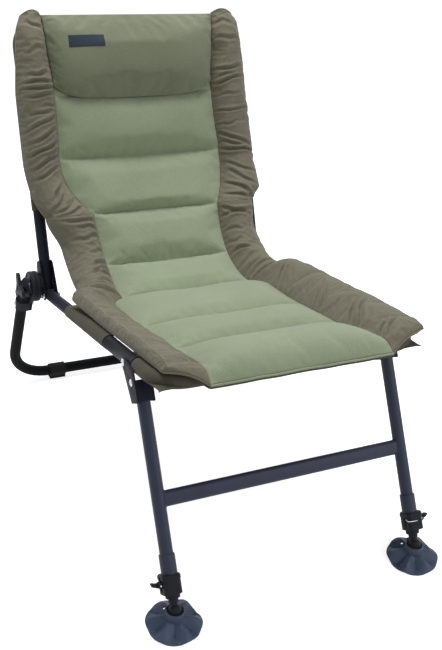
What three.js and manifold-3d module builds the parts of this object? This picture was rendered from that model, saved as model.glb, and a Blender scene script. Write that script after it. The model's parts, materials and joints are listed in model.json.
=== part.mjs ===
// Folding bankside chair: a tube seat frame and back frame joined by two hinge brackets, a quilted
// mattress laid over two slings, front legs with levelling feet and a rear leg on a ratchet joint.
// Millimetres. X is across the chair, +Y runs to its back, +Z is up, and it stands on z = 0.

import * as THREE from "three";
import { mergeVertices } from "three/addons/utils/BufferGeometryUtils.js";
import Module from "manifold-3d";

const wasm = await Module();
wasm.setup();

const left = -1;
const right = 1;
const sides = [left, right];
const sideName = (side) => (side === left ? "left" : "right");

// Driving dimensions
const frameWidth = 524; // between the centres of the side tubes
const seatDepth = 633; // hinge bolt to the front tube's centre
const seatPitch = THREE.MathUtils.degToRad(12.5); // the seat falls to the rear
const hingeHeight = 301; // hinge bolt above the ground
const backLength = 596; // hinge bolt to the top tube's centre, along the back
const backLean = THREE.MathUtils.degToRad(24.6); // from upright
const backSetback = 18; // back tube's centre behind the hinge bolt
const backPivotRise = 24; // hinge bolt to the rear leg's pivot, along the back
const frontPivotBack = 138; // front tube's centre to the front leg's pivot bolt
const frontLegLean = THREE.MathUtils.degToRad(31.5);
const frontLegForward = 27.8; // leg's centre ahead of its pivot bolt
const rearOut = 52.5; // rear leg's sides, out from the side tubes
const rearLegLean = THREE.MathUtils.degToRad(20.2);
const ballHeight = 36; // ball's centre above the ground
const tubeRadius = 12.5;
const tubeWall = 1.3;
const frameBend = 52; // bend of the seat and back frames, at the tube's centre
const rearLegBend = 92;
const clearance = 0.3; // between touching pieces
const overrun = 4; // how far a cut runs past a face
const fabric = 1.8;
const boltRadius = 3;
const bracketPlate = 2.5; // sheet thickness of the brackets and saddles

// The mattress
const greenInFront = 74; // edge of the fleece in from the side tube's centre, at each seam across
const greenInThigh = 91;
const greenInSeat = 84;
const greenInCrease = 110;
const greenInLumbar = 115;
const greenInWaist = 112;
const greenInBack = 69;
const greenInHead = 65;
const matOutSeat = 23; // outer edge of the bolsters, out from the side tube's centre
const matOutWaist = -23;
const matOutBack = 24;
const matOutHead = 21;
const matOutTop = 11;
const matOutCorner = -4;
const matOverhang = 36; // past the front tube's centre
const matDroop = 20; // the front edge hangs below the tube's top
const matValley = 10; // thickness at a seam
const matCrown = 17; // fullness of a channel above its seams
const matHem = 5; // thickness at the outer edge
const slingSag = 20;

// Counts
const tubeSides = 12;
const bendSteps = 4;
const rodSides = 8;
const wrapSteps = 16;
const headSides = 10;
const discSides = 28;
const globeSides = 16;

// Shared places
const halfFrame = frameWidth / 2;
const frontPivotAhead = seatDepth - frontPivotBack; // of the hinge bolt
const greenHalfFront = halfFrame - greenInFront;
const greenHalfThigh = halfFrame - greenInThigh;
const greenHalfSeat = halfFrame - greenInSeat;
const greenHalfCrease = halfFrame - greenInCrease;
const greenHalfLumbar = halfFrame - greenInLumbar;
const greenHalfWaist = halfFrame - greenInWaist;
const greenHalfBack = halfFrame - greenInBack;
const greenHalfHead = halfFrame - greenInHead;
const matHalfSeat = halfFrame + matOutSeat;
const matHalfWaist = halfFrame + matOutWaist;
const matHalfBack = halfFrame + matOutBack;
const matHalfHead = halfFrame + matOutHead;
const matHalfTop = halfFrame + matOutTop;
const matHalfCorner = halfFrame + matOutCorner;
const sleeveRadius = tubeRadius + clearance + fabric;
const sleeveFlat = sleeveRadius * Math.cos(Math.PI / tubeSides); // to the middle of one of its flats
const plateInner = tubeRadius + clearance; // bracket plates, out from the side tube's centre
const plateOuter = plateInner + bracketPlate;
const frontPivotHeight = hingeHeight + frontPivotAhead * Math.sin(seatPitch);
const frontLegLength =
  (frontPivotHeight + frontLegForward * Math.sin(frontLegLean) - ballHeight) / Math.cos(frontLegLean);
const out = (side, distance) => side * (halfFrame + distance);

// Colours and finishes
const finish = (colour, roughness, metalness) =>
  new THREE.MeshStandardMaterial({ color: colour, roughness, metalness });
const legPaint = finish("#33364a", 0.45, 0.3);
const blackPaint = finish("#1d1d23", 0.4, 0.3);
const zinc = finish("#c9ccd0", 0.3, 0.9);
const blackPlastic = finish("#17171a", 0.55, 0);
const footPlastic = finish("#414a5b", 0.6, 0);
const rubber = finish("#151517", 0.9, 0);
const slingCloth = finish("#57553f", 0.9, 0);
const fleece = finish("#94a286", 0.95, 0);
const bolsterCloth = finish("#6c6450", 0.85, 0);
const tagCloth = finish("#24303a", 0.8, 0);

// Solids: cutting and joining
const weld = 0.001; // points closer than this are one

function solidOf(geometry) {
  const bare = geometry.clone();
  bare.deleteAttribute("normal");
  bare.deleteAttribute("uv");
  const merged = mergeVertices(bare, weld);
  return new wasm.Manifold(
    new wasm.Mesh({
      numProp: 3,
      vertProperties: merged.attributes.position.array,
      triVerts: new Uint32Array(merged.index.array),
    }),
  );
}

function geometryOf(solid) {
  const mesh = solid.getMesh();
  return new THREE.BufferGeometry()
    .setAttribute("position", new THREE.BufferAttribute(mesh.vertProperties, 3))
    .setIndex(new THREE.BufferAttribute(mesh.triVerts, 1));
}

const join = (...shapes) => geometryOf(shapes.map(solidOf).reduce((a, b) => a.add(b)));
const cut = (shape, ...tools) =>
  geometryOf(tools.map(solidOf).reduce((a, b) => a.subtract(b), solidOf(shape)));

// Shapes
function circle(radius, count = tubeSides) {
  return Array.from({ length: count }, (_, i) => {
    const angle = (2 * Math.PI * (i + 0.5)) / count;
    return new THREE.Vector2(radius * Math.cos(angle), radius * Math.sin(angle));
  });
}

function ring(outer, inner) {
  const shape = new THREE.Shape(circle(outer));
  shape.holes.push(new THREE.Path(circle(inner)));
  return shape;
}

// A path whose stations are exactly its points, so straight runs need no rings of their own.
class StationPath extends THREE.Curve {
  constructor(points) {
    super();
    this.points = points;
  }
  station(u) {
    return Math.round(u * (this.points.length - 1));
  }
  getPoint(t, target = new THREE.Vector3()) {
    return target.copy(this.points[this.station(t)]);
  }
  getPointAt(u, target) {
    return this.getPoint(u, target);
  }
  getTangentAt(u, target = new THREE.Vector3()) {
    const i = this.station(u);
    const here = this.points[i];
    const before = this.points[i - 1];
    const after = this.points[i + 1];
    target.set(0, 0, 0);
    if (before) target.add(here.clone().sub(before).normalize());
    if (after) target.add(after.clone().sub(here).normalize());
    return target.normalize();
  }
}

function alongPath(shape, points) {
  return new THREE.ExtrudeGeometry(shape, {
    steps: points.length - 1,
    extrudePath: new StationPath(points),
  });
}

// Corner points joined by straight runs and round bends.
function bentPath(corners, bend) {
  const points = [corners[0]];
  corners.slice(1, -1).forEach((corner, i) => {
    const into = corner.clone().sub(corners[i]).normalize();
    const onward = corners[i + 2].clone().sub(corner).normalize();
    const turn = into.angleTo(onward);
    const inward = onward.clone().addScaledVector(into, -into.dot(onward)).normalize();
    const start = corner.clone().addScaledVector(into, -bend * Math.tan(turn / 2));
    for (let k = 0; k <= bendSteps; k++) {
      const angle = (turn * k) / bendSteps;
      const point = start.clone().addScaledVector(into, bend * Math.sin(angle));
      points.push(point.addScaledVector(inward, bend * (1 - Math.cos(angle))));
    }
  });
  points.push(corners.at(-1));
  return points;
}

// Cylinders along each axis, with flats where the tubes have theirs.
const rod = (radius, length, count) =>
  new THREE.CylinderGeometry(radius, radius, Math.abs(length), count).rotateY(Math.PI / count);

function rodX(radius, fromX, toX, y = 0, z = 0, count = rodSides) {
  return rod(radius, toX - fromX, count).rotateZ(Math.PI / 2).translate((fromX + toX) / 2, y, z);
}

function rodY(radius, fromY, toY, x = 0, z = 0, count = rodSides) {
  return rod(radius, toY - fromY, count).translate(x, (fromY + toY) / 2, z);
}

function rodZ(radius, fromZ, toZ, x = 0, y = 0, count = rodSides) {
  return rod(radius, toZ - fromZ, count).rotateX(Math.PI / 2).translate(x, y, (fromZ + toZ) / 2);
}

function block(fromX, toX, fromY, toY, fromZ, toZ) {
  return new THREE.BoxGeometry(
    Math.abs(toX - fromX),
    Math.abs(toY - fromY),
    Math.abs(toZ - fromZ),
  ).translate((fromX + toX) / 2, (fromY + toY) / 2, (fromZ + toZ) / 2);
}

// A tight outline round circles [[y, z, radius], ...], as ordered points.
function wrapped(circles) {
  const points = circles.flatMap(([y, z, radius]) =>
    circle(radius, wrapSteps).map((p) => new THREE.Vector2(y + p.x, z + p.y)),
  );
  points.sort((a, b) => a.x - b.x || a.y - b.y);
  const turn = (a, b, c) => (b.x - a.x) * (c.y - a.y) - (b.y - a.y) * (c.x - a.x);
  const chain = (list) =>
    list.reduce((kept, point) => {
      while (kept.length > 1 && turn(kept.at(-2), kept.at(-1), point) <= 0) kept.pop();
      return [...kept, point];
    }, []);
  const lower = chain(points);
  const upper = chain(points.reverse());
  return [...lower.slice(0, -1), ...upper.slice(0, -1)];
}

// A plate whose outline lies in Y and Z, thick along X.
function plateX(outline, fromX, toX) {
  const turned = new THREE.Matrix4().makeBasis(
    new THREE.Vector3(0, 1, 0),
    new THREE.Vector3(0, 0, 1),
    new THREE.Vector3(1, 0, 0),
  );
  return new THREE.ExtrudeGeometry(new THREE.Shape(outline), {
    depth: Math.abs(toX - fromX),
    bevelEnabled: false,
    steps: 1,
  })
    .applyMatrix4(turned)
    .translate(Math.min(fromX, toX), 0, 0);
}

// A bolt along X in one body: a domed head at one end, a nut and the shank's tail at the other.
function boltX(headX, nutX, y = 0, z = 0, radius = boltRadius) {
  const head = radius * bolt.headShare;
  const tall = radius * bolt.tallShare;
  const away = Math.sign(nutX - headX);
  const grip = Math.abs(nutX - headX);
  const profile = [
    new THREE.Vector2(0, -tall),
    new THREE.Vector2(head / 2, -tall),
    new THREE.Vector2(head, 0),
    new THREE.Vector2(radius, 0),
    new THREE.Vector2(radius, grip),
    new THREE.Vector2(head, grip),
    new THREE.Vector2(head, grip + tall),
    new THREE.Vector2(radius, grip + tall),
    new THREE.Vector2(radius, grip + 2 * tall),
    new THREE.Vector2(0, grip + 2 * tall),
  ];
  return new THREE.LatheGeometry(profile, headSides)
    .rotateZ((-away * Math.PI) / 2)
    .translate(headX, y, z);
}
const bolt = { headShare: 1.9, tallShare: 1.1 };

const hole = (fromX, toX, y = 0, z = 0) => rodX(boltRadius + clearance, fromX, toX, y, z);

// A closed skin between two sheets over one grid: across runs to +X, along runs down the list of
// stations, and the upper sheet is the one the sitter touches.
function padded(across, along, upper, lower) {
  const columns = across.length - 1;
  const rows = along.length - 1;
  const count = across.length * along.length;
  const at = (i, j, under = 0) => under * count + j * across.length + i;
  const positions = [upper, lower].flatMap((sheet) =>
    along.flatMap((v) => across.flatMap((u) => sheet(u, v).toArray())),
  );
  const index = [];
  const quad = (a, b, c, d) => index.push(a, b, c, a, c, d);
  for (let j = 0; j < rows; j++)
    for (let i = 0; i < columns; i++) {
      quad(at(i, j), at(i + 1, j), at(i + 1, j + 1), at(i, j + 1));
      quad(at(i, j, 1), at(i, j + 1, 1), at(i + 1, j + 1, 1), at(i + 1, j, 1));
    }
  for (let i = 0; i < columns; i++) {
    quad(at(i, 0, 1), at(i + 1, 0, 1), at(i + 1, 0), at(i, 0));
    quad(at(i + 1, rows, 1), at(i, rows, 1), at(i, rows), at(i + 1, rows));
  }
  for (let j = 0; j < rows; j++) {
    quad(at(0, j + 1, 1), at(0, j, 1), at(0, j), at(0, j + 1));
    quad(at(columns, j, 1), at(columns, j + 1, 1), at(columns, j + 1), at(columns, j));
  }
  return new THREE.BufferGeometry()
    .setAttribute("position", new THREE.Float32BufferAttribute(positions, 3))
    .setIndex(index);
}

// The other hand of a shape.
function mirrored(geometry) {
  const twin = geometry.clone().scale(-1, 1, 1);
  const index = Array.from(twin.index.array);
  for (let i = 0; i < index.length; i += 3) [index[i], index[i + 1]] = [index[i + 1], index[i]];
  return twin.setIndex(index);
}
const forSide = (side, geometry, drawn = right) => (side === drawn ? geometry : mirrored(geometry));

// Evenly spaced values from one to another.
const spaced = (from, to, steps) =>
  Array.from({ length: steps + 1 }, (_, k) => THREE.MathUtils.lerp(from, to, k / steps));

// Value read off a list of [place, value] pairs by straight lines.
function between(pairs, place) {
  const last = pairs.length - 1;
  if (place <= pairs[0][0]) return pairs[0][1];
  if (place >= pairs[last][0]) return pairs[last][1];
  const i = pairs.findIndex(([p]) => p > place) - 1;
  const [[p, a], [q, b]] = [pairs[i], pairs[i + 1]];
  return THREE.MathUtils.mapLinear(place, p, q, a, b);
}

function mesh(name, geometry, material) {
  const made = new THREE.Mesh(geometry, material);
  made.name = name;
  return made;
}

// Groups: each frame has its own axes, with the hinge bolt as the chair's centre
const chair = new THREE.Group();
const seat = new THREE.Group(); // +Y runs to the rear along the side tubes
const back = new THREE.Group(); // +Z runs up the back tubes
const frontLegs = new THREE.Group(); // +Z runs up the legs, from the pivot bolts
const rearLeg = new THREE.Group(); // +Z runs up the leg, from its pivot
chair.add(seat, back);
seat.rotation.x = -seatPitch;
back.rotation.x = -backLean;
frontLegs.position.y = -frontPivotAhead;
frontLegs.rotation.x = seatPitch - frontLegLean;
seat.add(frontLegs);
rearLeg.position.set(0, backSetback, backPivotRise);
rearLeg.rotation.x = rearLegLean + backLean;
back.add(rearLeg);

// Seat frame
const seatTail = 9; // tube past the hinge bolt, which the stop lips swing round
const collarFront = 112; // front tube's centre to the collar's front end
const collarLength = 142;
const collarRear = seatDepth - collarFront - collarLength; // hinge bolt to the collar's rear end
const collarWall = 2;
const collarRadius = tubeRadius + collarWall;

const frameU = (tail, depth) => [
  new THREE.Vector3(-halfFrame, tail, 0),
  new THREE.Vector3(-halfFrame, -depth, 0),
  new THREE.Vector3(halfFrame, -depth, 0),
  new THREE.Vector3(halfFrame, tail, 0),
];

function addSeatFrame() {
  const tube = alongPath(
    ring(tubeRadius, tubeRadius - tubeWall),
    bentPath(frameU(seatTail, seatDepth), frameBend),
  );
  const holes = sides.flatMap((side) =>
    [0, -frontPivotAhead].map((y) =>
      hole(out(side, -tubeRadius - overrun), out(side, tubeRadius + overrun), y),
    ),
  );
  seat.add(mesh("seat_frame", cut(tube, ...holes), blackPaint));
  for (const side of sides) {
    const profile = [
      new THREE.Vector2(plateInner, 0),
      new THREE.Vector2(collarRadius, 0),
      new THREE.Vector2(collarRadius, collarLength),
      new THREE.Vector2(plateInner, collarLength),
      new THREE.Vector2(plateInner, 0),
    ];
    const collar = new THREE.LatheGeometry(profile, tubeSides)
      .rotateY(Math.PI / tubeSides)
      .translate(out(side, 0), -collarRear - collarLength, 0);
    const pastCollar = [-collarRadius - overrun, collarRadius + overrun].map((x) => out(side, x));
    const bore = hole(...pastCollar, -frontPivotAhead);
    seat.add(mesh("leg_collar_" + sideName(side), cut(collar, bore), blackPlastic));
  }
}

// Slings: a sheet that dips between two sleeves sewn round the frame
const slingRear = 143; // hinge bolt to the seat sling's rear hem
const slingRise = 190; // hinge bolt to the back sling's lower hem
const slingFade = 110; // the dip fades out over this length at the cross tube
const slingColumns = 8;
const collarGap = 4; // sling cut back past the collar's ends
const notchDepth = 22; // sling cut in beside the collar

// How far the sheet dips at x, given the distance from the frame's cross tube.
function dip(x, fromCross) {
  const fade = THREE.MathUtils.clamp((fromCross - tubeRadius) / (slingFade - tubeRadius), 0, 1);
  return slingSag * fade * Math.max(0, 1 - (x / halfFrame) ** 2);
}

// Stations of the sheet: how far each lies from the cross tube.
function sheetStations(open, cross) {
  const bends = spaced(0, Math.PI / 2, bendSteps).map((angle) => frameBend * (1 - Math.cos(angle)));
  return [...bends, slingFade, cross - open];
}

// Half-width of the frame at its tube's centre, inside the bend and past it.
function frameHalf(fromCross) {
  const intoBend = Math.max(0, 1 - fromCross / frameBend);
  return halfFrame - frameBend * (1 - Math.sqrt(1 - intoBend ** 2));
}

function slingBody(open, cross) {
  const sheet = (depth) => (u, fromCross) => {
    const x = u * frameHalf(fromCross);
    return new THREE.Vector3(x, fromCross - cross, sleeveFlat - depth - dip(x, fromCross));
  };
  const flat = padded(spaced(-1, 1, slingColumns), sheetStations(open, cross), sheet(0), sheet(fabric));
  const round = (radius, tail) =>
    alongPath(new THREE.Shape(circle(radius)), bentPath(frameU(tail, cross), frameBend));
  return cut(join(flat, round(sleeveRadius, -open)), round(tubeRadius + clearance, 0));
}

function addSeatSling() {
  const gaps = sides.map((side) =>
    block(
      out(side, -notchDepth),
      out(side, sleeveRadius + overrun),
      -collarRear - collarLength - collarGap,
      -collarRear + collarGap,
      -sleeveRadius - overrun,
      sleeveRadius + overrun,
    ),
  );
  seat.add(mesh("seat_sling", cut(slingBody(slingRear, seatDepth), ...gaps), slingCloth));
}

// Back frame, its sling and the hinge brackets
const backTubeFoot = 16; // tube's lower end above the hinge bolt
const bracketTop = 76;
const bracketTipRadius = 10;
const bracketTopRadius = 12.5;
const bracketWebFoot = 44; // web's lower edge above the hinge bolt
const stopAhead = 15.6; // stop lip behind the hinge bolt
const stopRise = 11;
const stopDrop = 9;

function addBackFrame() {
  const toBack = new THREE.Matrix4()
    .makeRotationX(-Math.PI / 2)
    .setPosition(0, backSetback, 0);
  const tube = alongPath(
    ring(tubeRadius, tubeRadius - tubeWall),
    bentPath(frameU(-backTubeFoot, backLength), frameBend),
  ).applyMatrix4(toBack);
  const holes = sides.map((side) =>
    hole(out(side, -tubeRadius - overrun), out(side, tubeRadius + overrun), backSetback, backPivotRise),
  );
  back.add(mesh("back_frame", cut(tube, ...holes), blackPaint));
  back.add(mesh("back_sling", slingBody(slingRise, backLength).applyMatrix4(backTurn()), slingCloth));
  for (const side of sides) back.add(mesh("hinge_bracket_" + sideName(side), bracket(side), legPaint));
}

// Turns a sling made for the seat so that its cross tube is at the top and it dips to the rear.
function backTurn() {
  return new THREE.Matrix4()
    .makeRotationX(-Math.PI / 2)
    .premultiply(new THREE.Matrix4().makeRotationZ(Math.PI))
    .setPosition(0, backSetback, 0);
}

function bracket(side) {
  const rearFace = backSetback + plateInner;
  const cheek = wrapped([
    [0, 0, bracketTipRadius],
    [backSetback, backPivotRise, tubeRadius + bracketPlate],
    [backSetback, bracketTop - bracketTopRadius, bracketTopRadius + bracketPlate],
  ]);
  const cheeks = [plateInner, -plateOuter].map((from) =>
    plateX(cheek, out(side, from), out(side, from + bracketPlate)),
  );
  const web = block(
    out(side, -plateOuter),
    out(side, plateOuter),
    rearFace,
    rearFace + bracketPlate,
    bracketWebFoot,
    bracketTop - bracketTopRadius,
  );
  const stop = block(
    out(side, -plateOuter),
    out(side, plateOuter),
    stopAhead,
    stopAhead + bracketPlate,
    -stopDrop + bracketPlate,
    stopRise,
  );
  const pastPlates = [-plateOuter - overrun, plateOuter + overrun].map((x) => out(side, x));
  return cut(
    join(...cheeks, web, stop),
    hole(...pastPlates, 0, 0),
    hole(...pastPlates, backSetback, backPivotRise),
  );
}

function addHingeBolts() {
  for (const side of sides) {
    const shape = boltX(out(side, plateOuter + clearance), out(side, -plateOuter - clearance));
    seat.add(mesh("hinge_bolt_" + sideName(side), shape, zinc));
  }
}

// Front legs. Heights run down from the pivot bolt, along the leg
const legTop =
  (collarRadius + clearance + (frontLegForward + tubeRadius) * Math.sin(frontLegLean - seatPitch)) /
  Math.cos(frontLegLean - seatPitch);
const legFootRise = 53.5; // outer tube's lower end above the ball, inside the clamp
const legFoot = frontLegLength - legFootRise;
const saddleFoot = 76;
const saddleFlare = 4; // saddle plate past the leg tube, front and rear
const saddleTip = 10; // radius round the pivot bolt
const saddleWebTop = 34;
const saddleBoltDrop = 38;
const saddleReach = collarRadius + clearance; // plates clear the collar
const crossbarDrop = 253;
const crossbarTall = 30;
const crossbarDeep = 16;
const crossbarWall = 1.3;
const sleeveTall = 36;
const clampTall = 36;
const clampStepTall = 8;
const clampStepRise = 23.5; // clamp's lower end above the ball
const clampStep = frontLegLength - clampStepRise;
const clampFoot = clampStep - clampStepTall;
const clampTop = clampFoot - clampTall;
const sleeveTop = clampTop - sleeveTall;
const ferruleWall = 2.4;
const ferruleRadius = tubeRadius + ferruleWall;
const postRadius = 9.2;
const postWall = 1.5;
const postRise = 248.5; // post's upper end above the ball
const postTop = frontLegLength - postRise;

const clamp = {
  outerHalf: 19,
  innerHalf: 15.6,
  halfDeep: 17,
  chamfer: 5,
  stepRadius: 13.5,
  earReach: 27, // out from the leg's centre
  earThick: 4,
  earTall: 14,
  leverHalf: 3.6,
  pinOut: 21.5,
  pinBelow: 17, // under the clamp's top
  pinRadius: 1.6,
};

const pinDrop = clampTop + clamp.pinBelow;

function addFrontLegs() {
  const y = -frontLegForward;
  for (const side of sides) {
    const x = out(side, 0);
    const name = sideName(side);
    const tube = cut(
      rodZ(tubeRadius, -legFoot, -legTop, x, y, tubeSides),
      rodZ(tubeRadius - tubeWall, -legFoot - overrun, -legTop + overrun, x, y, tubeSides),
      hole(out(side, -saddleReach), out(side, saddleReach), y, -saddleBoltDrop),
    );
    frontLegs.add(mesh("front_leg_" + name, tube, legPaint));
    frontLegs.add(mesh("leg_saddle_" + name, saddle(side), legPaint));
    const saddleOuter = saddleReach + bracketPlate + clearance;
    const grip = [out(side, saddleOuter), out(side, -saddleOuter)];
    frontLegs.add(mesh("saddle_bolt_" + name, boltX(...grip, y, -saddleBoltDrop), zinc));
    seat.add(mesh("leg_pivot_bolt_" + name, boltX(...grip, -frontPivotAhead), zinc));
    const ferrule = cut(
      rodZ(ferruleRadius, -clampTop + clearance, -sleeveTop, x, y, tubeSides),
      rodZ(tubeRadius + clearance, -clampTop - overrun, -sleeveTop + overrun, x, y, tubeSides),
    );
    frontLegs.add(mesh("leg_sleeve_" + name, ferrule, legPaint));
    frontLegs.add(mesh("clamp_block_" + name, clampBlock(side), blackPlastic));
    const pinHalf = clamp.leverHalf + clearance + clamp.earThick;
    frontLegs.add(
      mesh(
        "lever_pin_" + name,
        rodY(clamp.pinRadius, y - pinHalf, y + pinHalf, out(side, clamp.pinOut), -pinDrop),
        zinc,
      ),
    );
    frontLegs.add(mesh("cam_lever_" + name, camLever(side), blackPlastic));
    frontLegs.add(mesh("inner_leg_" + name, innerLeg(side), blackPlastic));
  }
  frontLegs.add(mesh("front_crossbar", crossbar(), legPaint));
}

function saddle(side) {
  const y = -frontLegForward;
  const cheek = wrapped([
    [0, 0, saddleTip],
    [y - tubeRadius - saddleFlare + saddleTip, -saddleWebTop + saddleTip, saddleTip],
    [y - tubeRadius - saddleFlare + bracketPlate, -saddleFoot + bracketPlate, bracketPlate],
    [y + tubeRadius + saddleFlare - bracketPlate, -saddleFoot + bracketPlate, bracketPlate],
  ]);
  const cheeks = [saddleReach, -saddleReach - bracketPlate].map((from) =>
    plateX(cheek, out(side, from), out(side, from + bracketPlate)),
  );
  const web = block(
    out(side, -saddleReach - bracketPlate),
    out(side, saddleReach + bracketPlate),
    y - tubeRadius - saddleFlare,
    y - tubeRadius - saddleFlare + bracketPlate,
    -saddleFoot + bracketPlate,
    -saddleWebTop,
  );
  const pastPlates = [-saddleReach - bracketPlate - overrun, saddleReach + bracketPlate + overrun];
  return cut(
    join(...cheeks, web),
    hole(...pastPlates.map((x) => out(side, x)), 0, 0),
    hole(...pastPlates.map((x) => out(side, x)), y, -saddleBoltDrop),
  );
}

function flatOval(tall, deep) {
  const shape = new THREE.Shape();
  const straight = (tall - deep) / 2;
  shape.absarc(0, straight, deep / 2, 0, Math.PI);
  shape.absarc(0, -straight, deep / 2, Math.PI, 2 * Math.PI);
  return shape.getSpacedPoints(ovalPoints).slice(0, -1);
}
const ovalPoints = 24;

function crossbar() {
  const y = -frontLegForward;
  const reach = halfFrame - tubeRadius / 2;
  const shape = (tall, deep) =>
    flatOval(tall, deep).map((p) => new THREE.Vector2(y + p.x, p.y - crossbarDrop));
  const legs = sides.map((side) =>
    rodZ(tubeRadius + clearance, -legFoot, -legTop, out(side, 0), y, tubeSides),
  );
  return cut(
    plateX(shape(crossbarTall, crossbarDeep), -reach, reach),
    plateX(
      shape(crossbarTall - 2 * crossbarWall, crossbarDeep - 2 * crossbarWall),
      -reach - overrun,
      reach + overrun,
    ),
    ...legs,
  );
}

function clampBlock(side) {
  const y = -frontLegForward;
  const x = out(side, 0);
  const { outerHalf, innerHalf, halfDeep, chamfer } = clamp;
  const plan = [
    [outerHalf, halfDeep - chamfer],
    [outerHalf - chamfer, halfDeep],
    [-innerHalf + chamfer, halfDeep],
    [-innerHalf, halfDeep - chamfer],
    [-innerHalf, -halfDeep + chamfer],
    [-innerHalf + chamfer, -halfDeep],
    [outerHalf - chamfer, -halfDeep],
    [outerHalf, -halfDeep + chamfer],
  ].map(([px, py]) => new THREE.Vector2(out(side, px), y + py));
  const body = new THREE.ExtrudeGeometry(new THREE.Shape(plan), {
    depth: clampFoot - clampTop,
    bevelEnabled: false,
    steps: 1,
  }).translate(0, 0, -clampFoot);
  const earInner = clamp.leverHalf + clearance;
  const ears = [earInner, -earInner - clamp.earThick].map((from) =>
    block(
      x,
      out(side, clamp.earReach),
      y + from,
      y + from + clamp.earThick,
      -pinDrop - clamp.earTall / 2,
      -pinDrop + clamp.earTall / 2,
    ),
  );
  const step = rodZ(clamp.stepRadius, -clampStep, -clampFoot + overrun, x, y, tubeSides);
  const slot = block(
    out(side, tubeRadius + clearance + tubeWall),
    out(side, clamp.earReach + overrun),
    y - earInner,
    y + earInner,
    -pinDrop - clamp.earTall,
    -pinDrop + clamp.earTall,
  );
  return cut(
    join(body, ...ears, step),
    slot,
    rodZ(tubeRadius + clearance, -legFoot - clearance, -clampTop + overrun, x, y, tubeSides),
    rodZ(postRadius + clearance, -clampStep - overrun, -clampTop, x, y, tubeSides),
    rodY(clamp.pinRadius + clearance, y - halfDeep, y + halfDeep, out(side, clamp.pinOut), -pinDrop),
  );
}

const lever = { hub: 5.2, tip: 3.6, reach: 13, lift: 3 };

function camLever(side) {
  const y = -frontLegForward;
  const outline = wrapped([
    [0, 0, lever.hub],
    [lever.reach, lever.lift, lever.tip],
  ]).map((p) => new THREE.Vector2(out(side, clamp.pinOut) + side * p.x, p.y - pinDrop));
  const arm = new THREE.ExtrudeGeometry(new THREE.Shape(outline), {
    depth: 2 * clamp.leverHalf,
    bevelEnabled: false,
    steps: 1,
  })
    .rotateX(Math.PI / 2)
    .translate(0, y + clamp.leverHalf, 0);
  const bore = rodY(
    clamp.pinRadius + clearance,
    y - clamp.halfDeep,
    y + clamp.halfDeep,
    out(side, clamp.pinOut),
    -pinDrop,
  );
  return cut(arm, bore);
}

// Telescopic post with the ball on its end
const ball = { radius: 12.5, neck: 7.5, collarTall: 5, fit: 0.8 };

function innerLeg(side) {
  const y = -frontLegForward;
  const x = out(side, 0);
  const foot = frontLegLength - ball.radius;
  const post = cut(
    rodZ(postRadius, -foot + ball.collarTall, -postTop, x, y, tubeSides),
    rodZ(postRadius - postWall, -clampStep, -postTop + overrun, x, y, tubeSides),
  );
  const neck = rodZ(ball.neck, -frontLegLength, -foot + ball.collarTall + overrun, x, y, tubeSides);
  const globe = globeAt(ball.radius).translate(x, y, -frontLegLength);
  return join(post, neck, globe);
}

// Levelling feet, made round the ball's centre with their own +Z upright
const socket = { radius: 15.2, top: 2.5, drop: 9 };
const mudFoot = {
  radius: 50,
  lobes: 6,
  wave: 4.5, // rise and fall of the rim
  rim: 7, // mean height of the rim's upper face
  skirt: 3, // thickness
  bossFoot: 5, // above the ground
  bossRadius: 18.6,
  bossTop: 3, // above the ball's centre
  shoulder: 22, // height of the dish at the boss
  drainRadius: 2.6,
  drainOut: 30,
  around: 30,
  rings: 2,
};

function addFeet() {
  for (const side of sides) {
    const group = new THREE.Group();
    group.position.set(out(side, 0), -frontLegForward, -frontLegLength);
    group.rotation.x = frontLegLean;
    frontLegs.add(group);
    group.add(mesh("foot_socket_" + sideName(side), footSocket(), blackPlastic));
    group.add(mesh("mud_foot_" + sideName(side), mudFootBody(), footPlastic));
  }
}

function globeAt(radius) {
  return new THREE.SphereGeometry(radius, globeSides, globeSides / 2).rotateX(Math.PI / 2);
}

function footSocket() {
  const across = [-socket.radius, socket.radius, -socket.radius, socket.radius];
  const above = block(...across, socket.top, socket.radius);
  const under = block(...across, -socket.drop, -socket.radius);
  return cut(globeAt(socket.radius), globeAt(ball.radius + ball.fit), above, under);
}

function mudFootBody() {
  const inner = mudFoot.bossRadius / 2;
  const dish = (thick) => (angle, radius) => {
    const share = (radius - inner) / (mudFoot.radius - inner);
    const level = THREE.MathUtils.lerp(mudFoot.shoulder, mudFoot.rim, Math.sqrt(share));
    const wave = mudFoot.wave * share * Math.cos(mudFoot.lobes * angle);
    const z = level + wave - thick - ballHeight;
    return new THREE.Vector3(-radius * Math.cos(angle), radius * Math.sin(angle), z);
  };
  const skirt = ringPad(
    spaced(0, 2 * Math.PI, mudFoot.around).slice(0, -1),
    spaced(inner, mudFoot.radius, mudFoot.rings),
    dish(0),
    dish(mudFoot.skirt),
  );
  const bossFoot = mudFoot.bossFoot - ballHeight;
  const boss = rodZ(mudFoot.bossRadius, bossFoot, mudFoot.bossTop, 0, 0, mudFoot.around);
  const ground = block(
    -mudFoot.radius - overrun,
    mudFoot.radius + overrun,
    -mudFoot.radius - overrun,
    mudFoot.radius + overrun,
    -ballHeight - mudFoot.radius,
    -ballHeight,
  );
  return cut(
    join(skirt, boss),
    ground,
    globeAt(socket.radius + ball.fit),
    rodZ(mudFoot.drainRadius, -ballHeight - overrun, mudFoot.bossTop, -mudFoot.drainOut, 0),
  );
}

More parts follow.
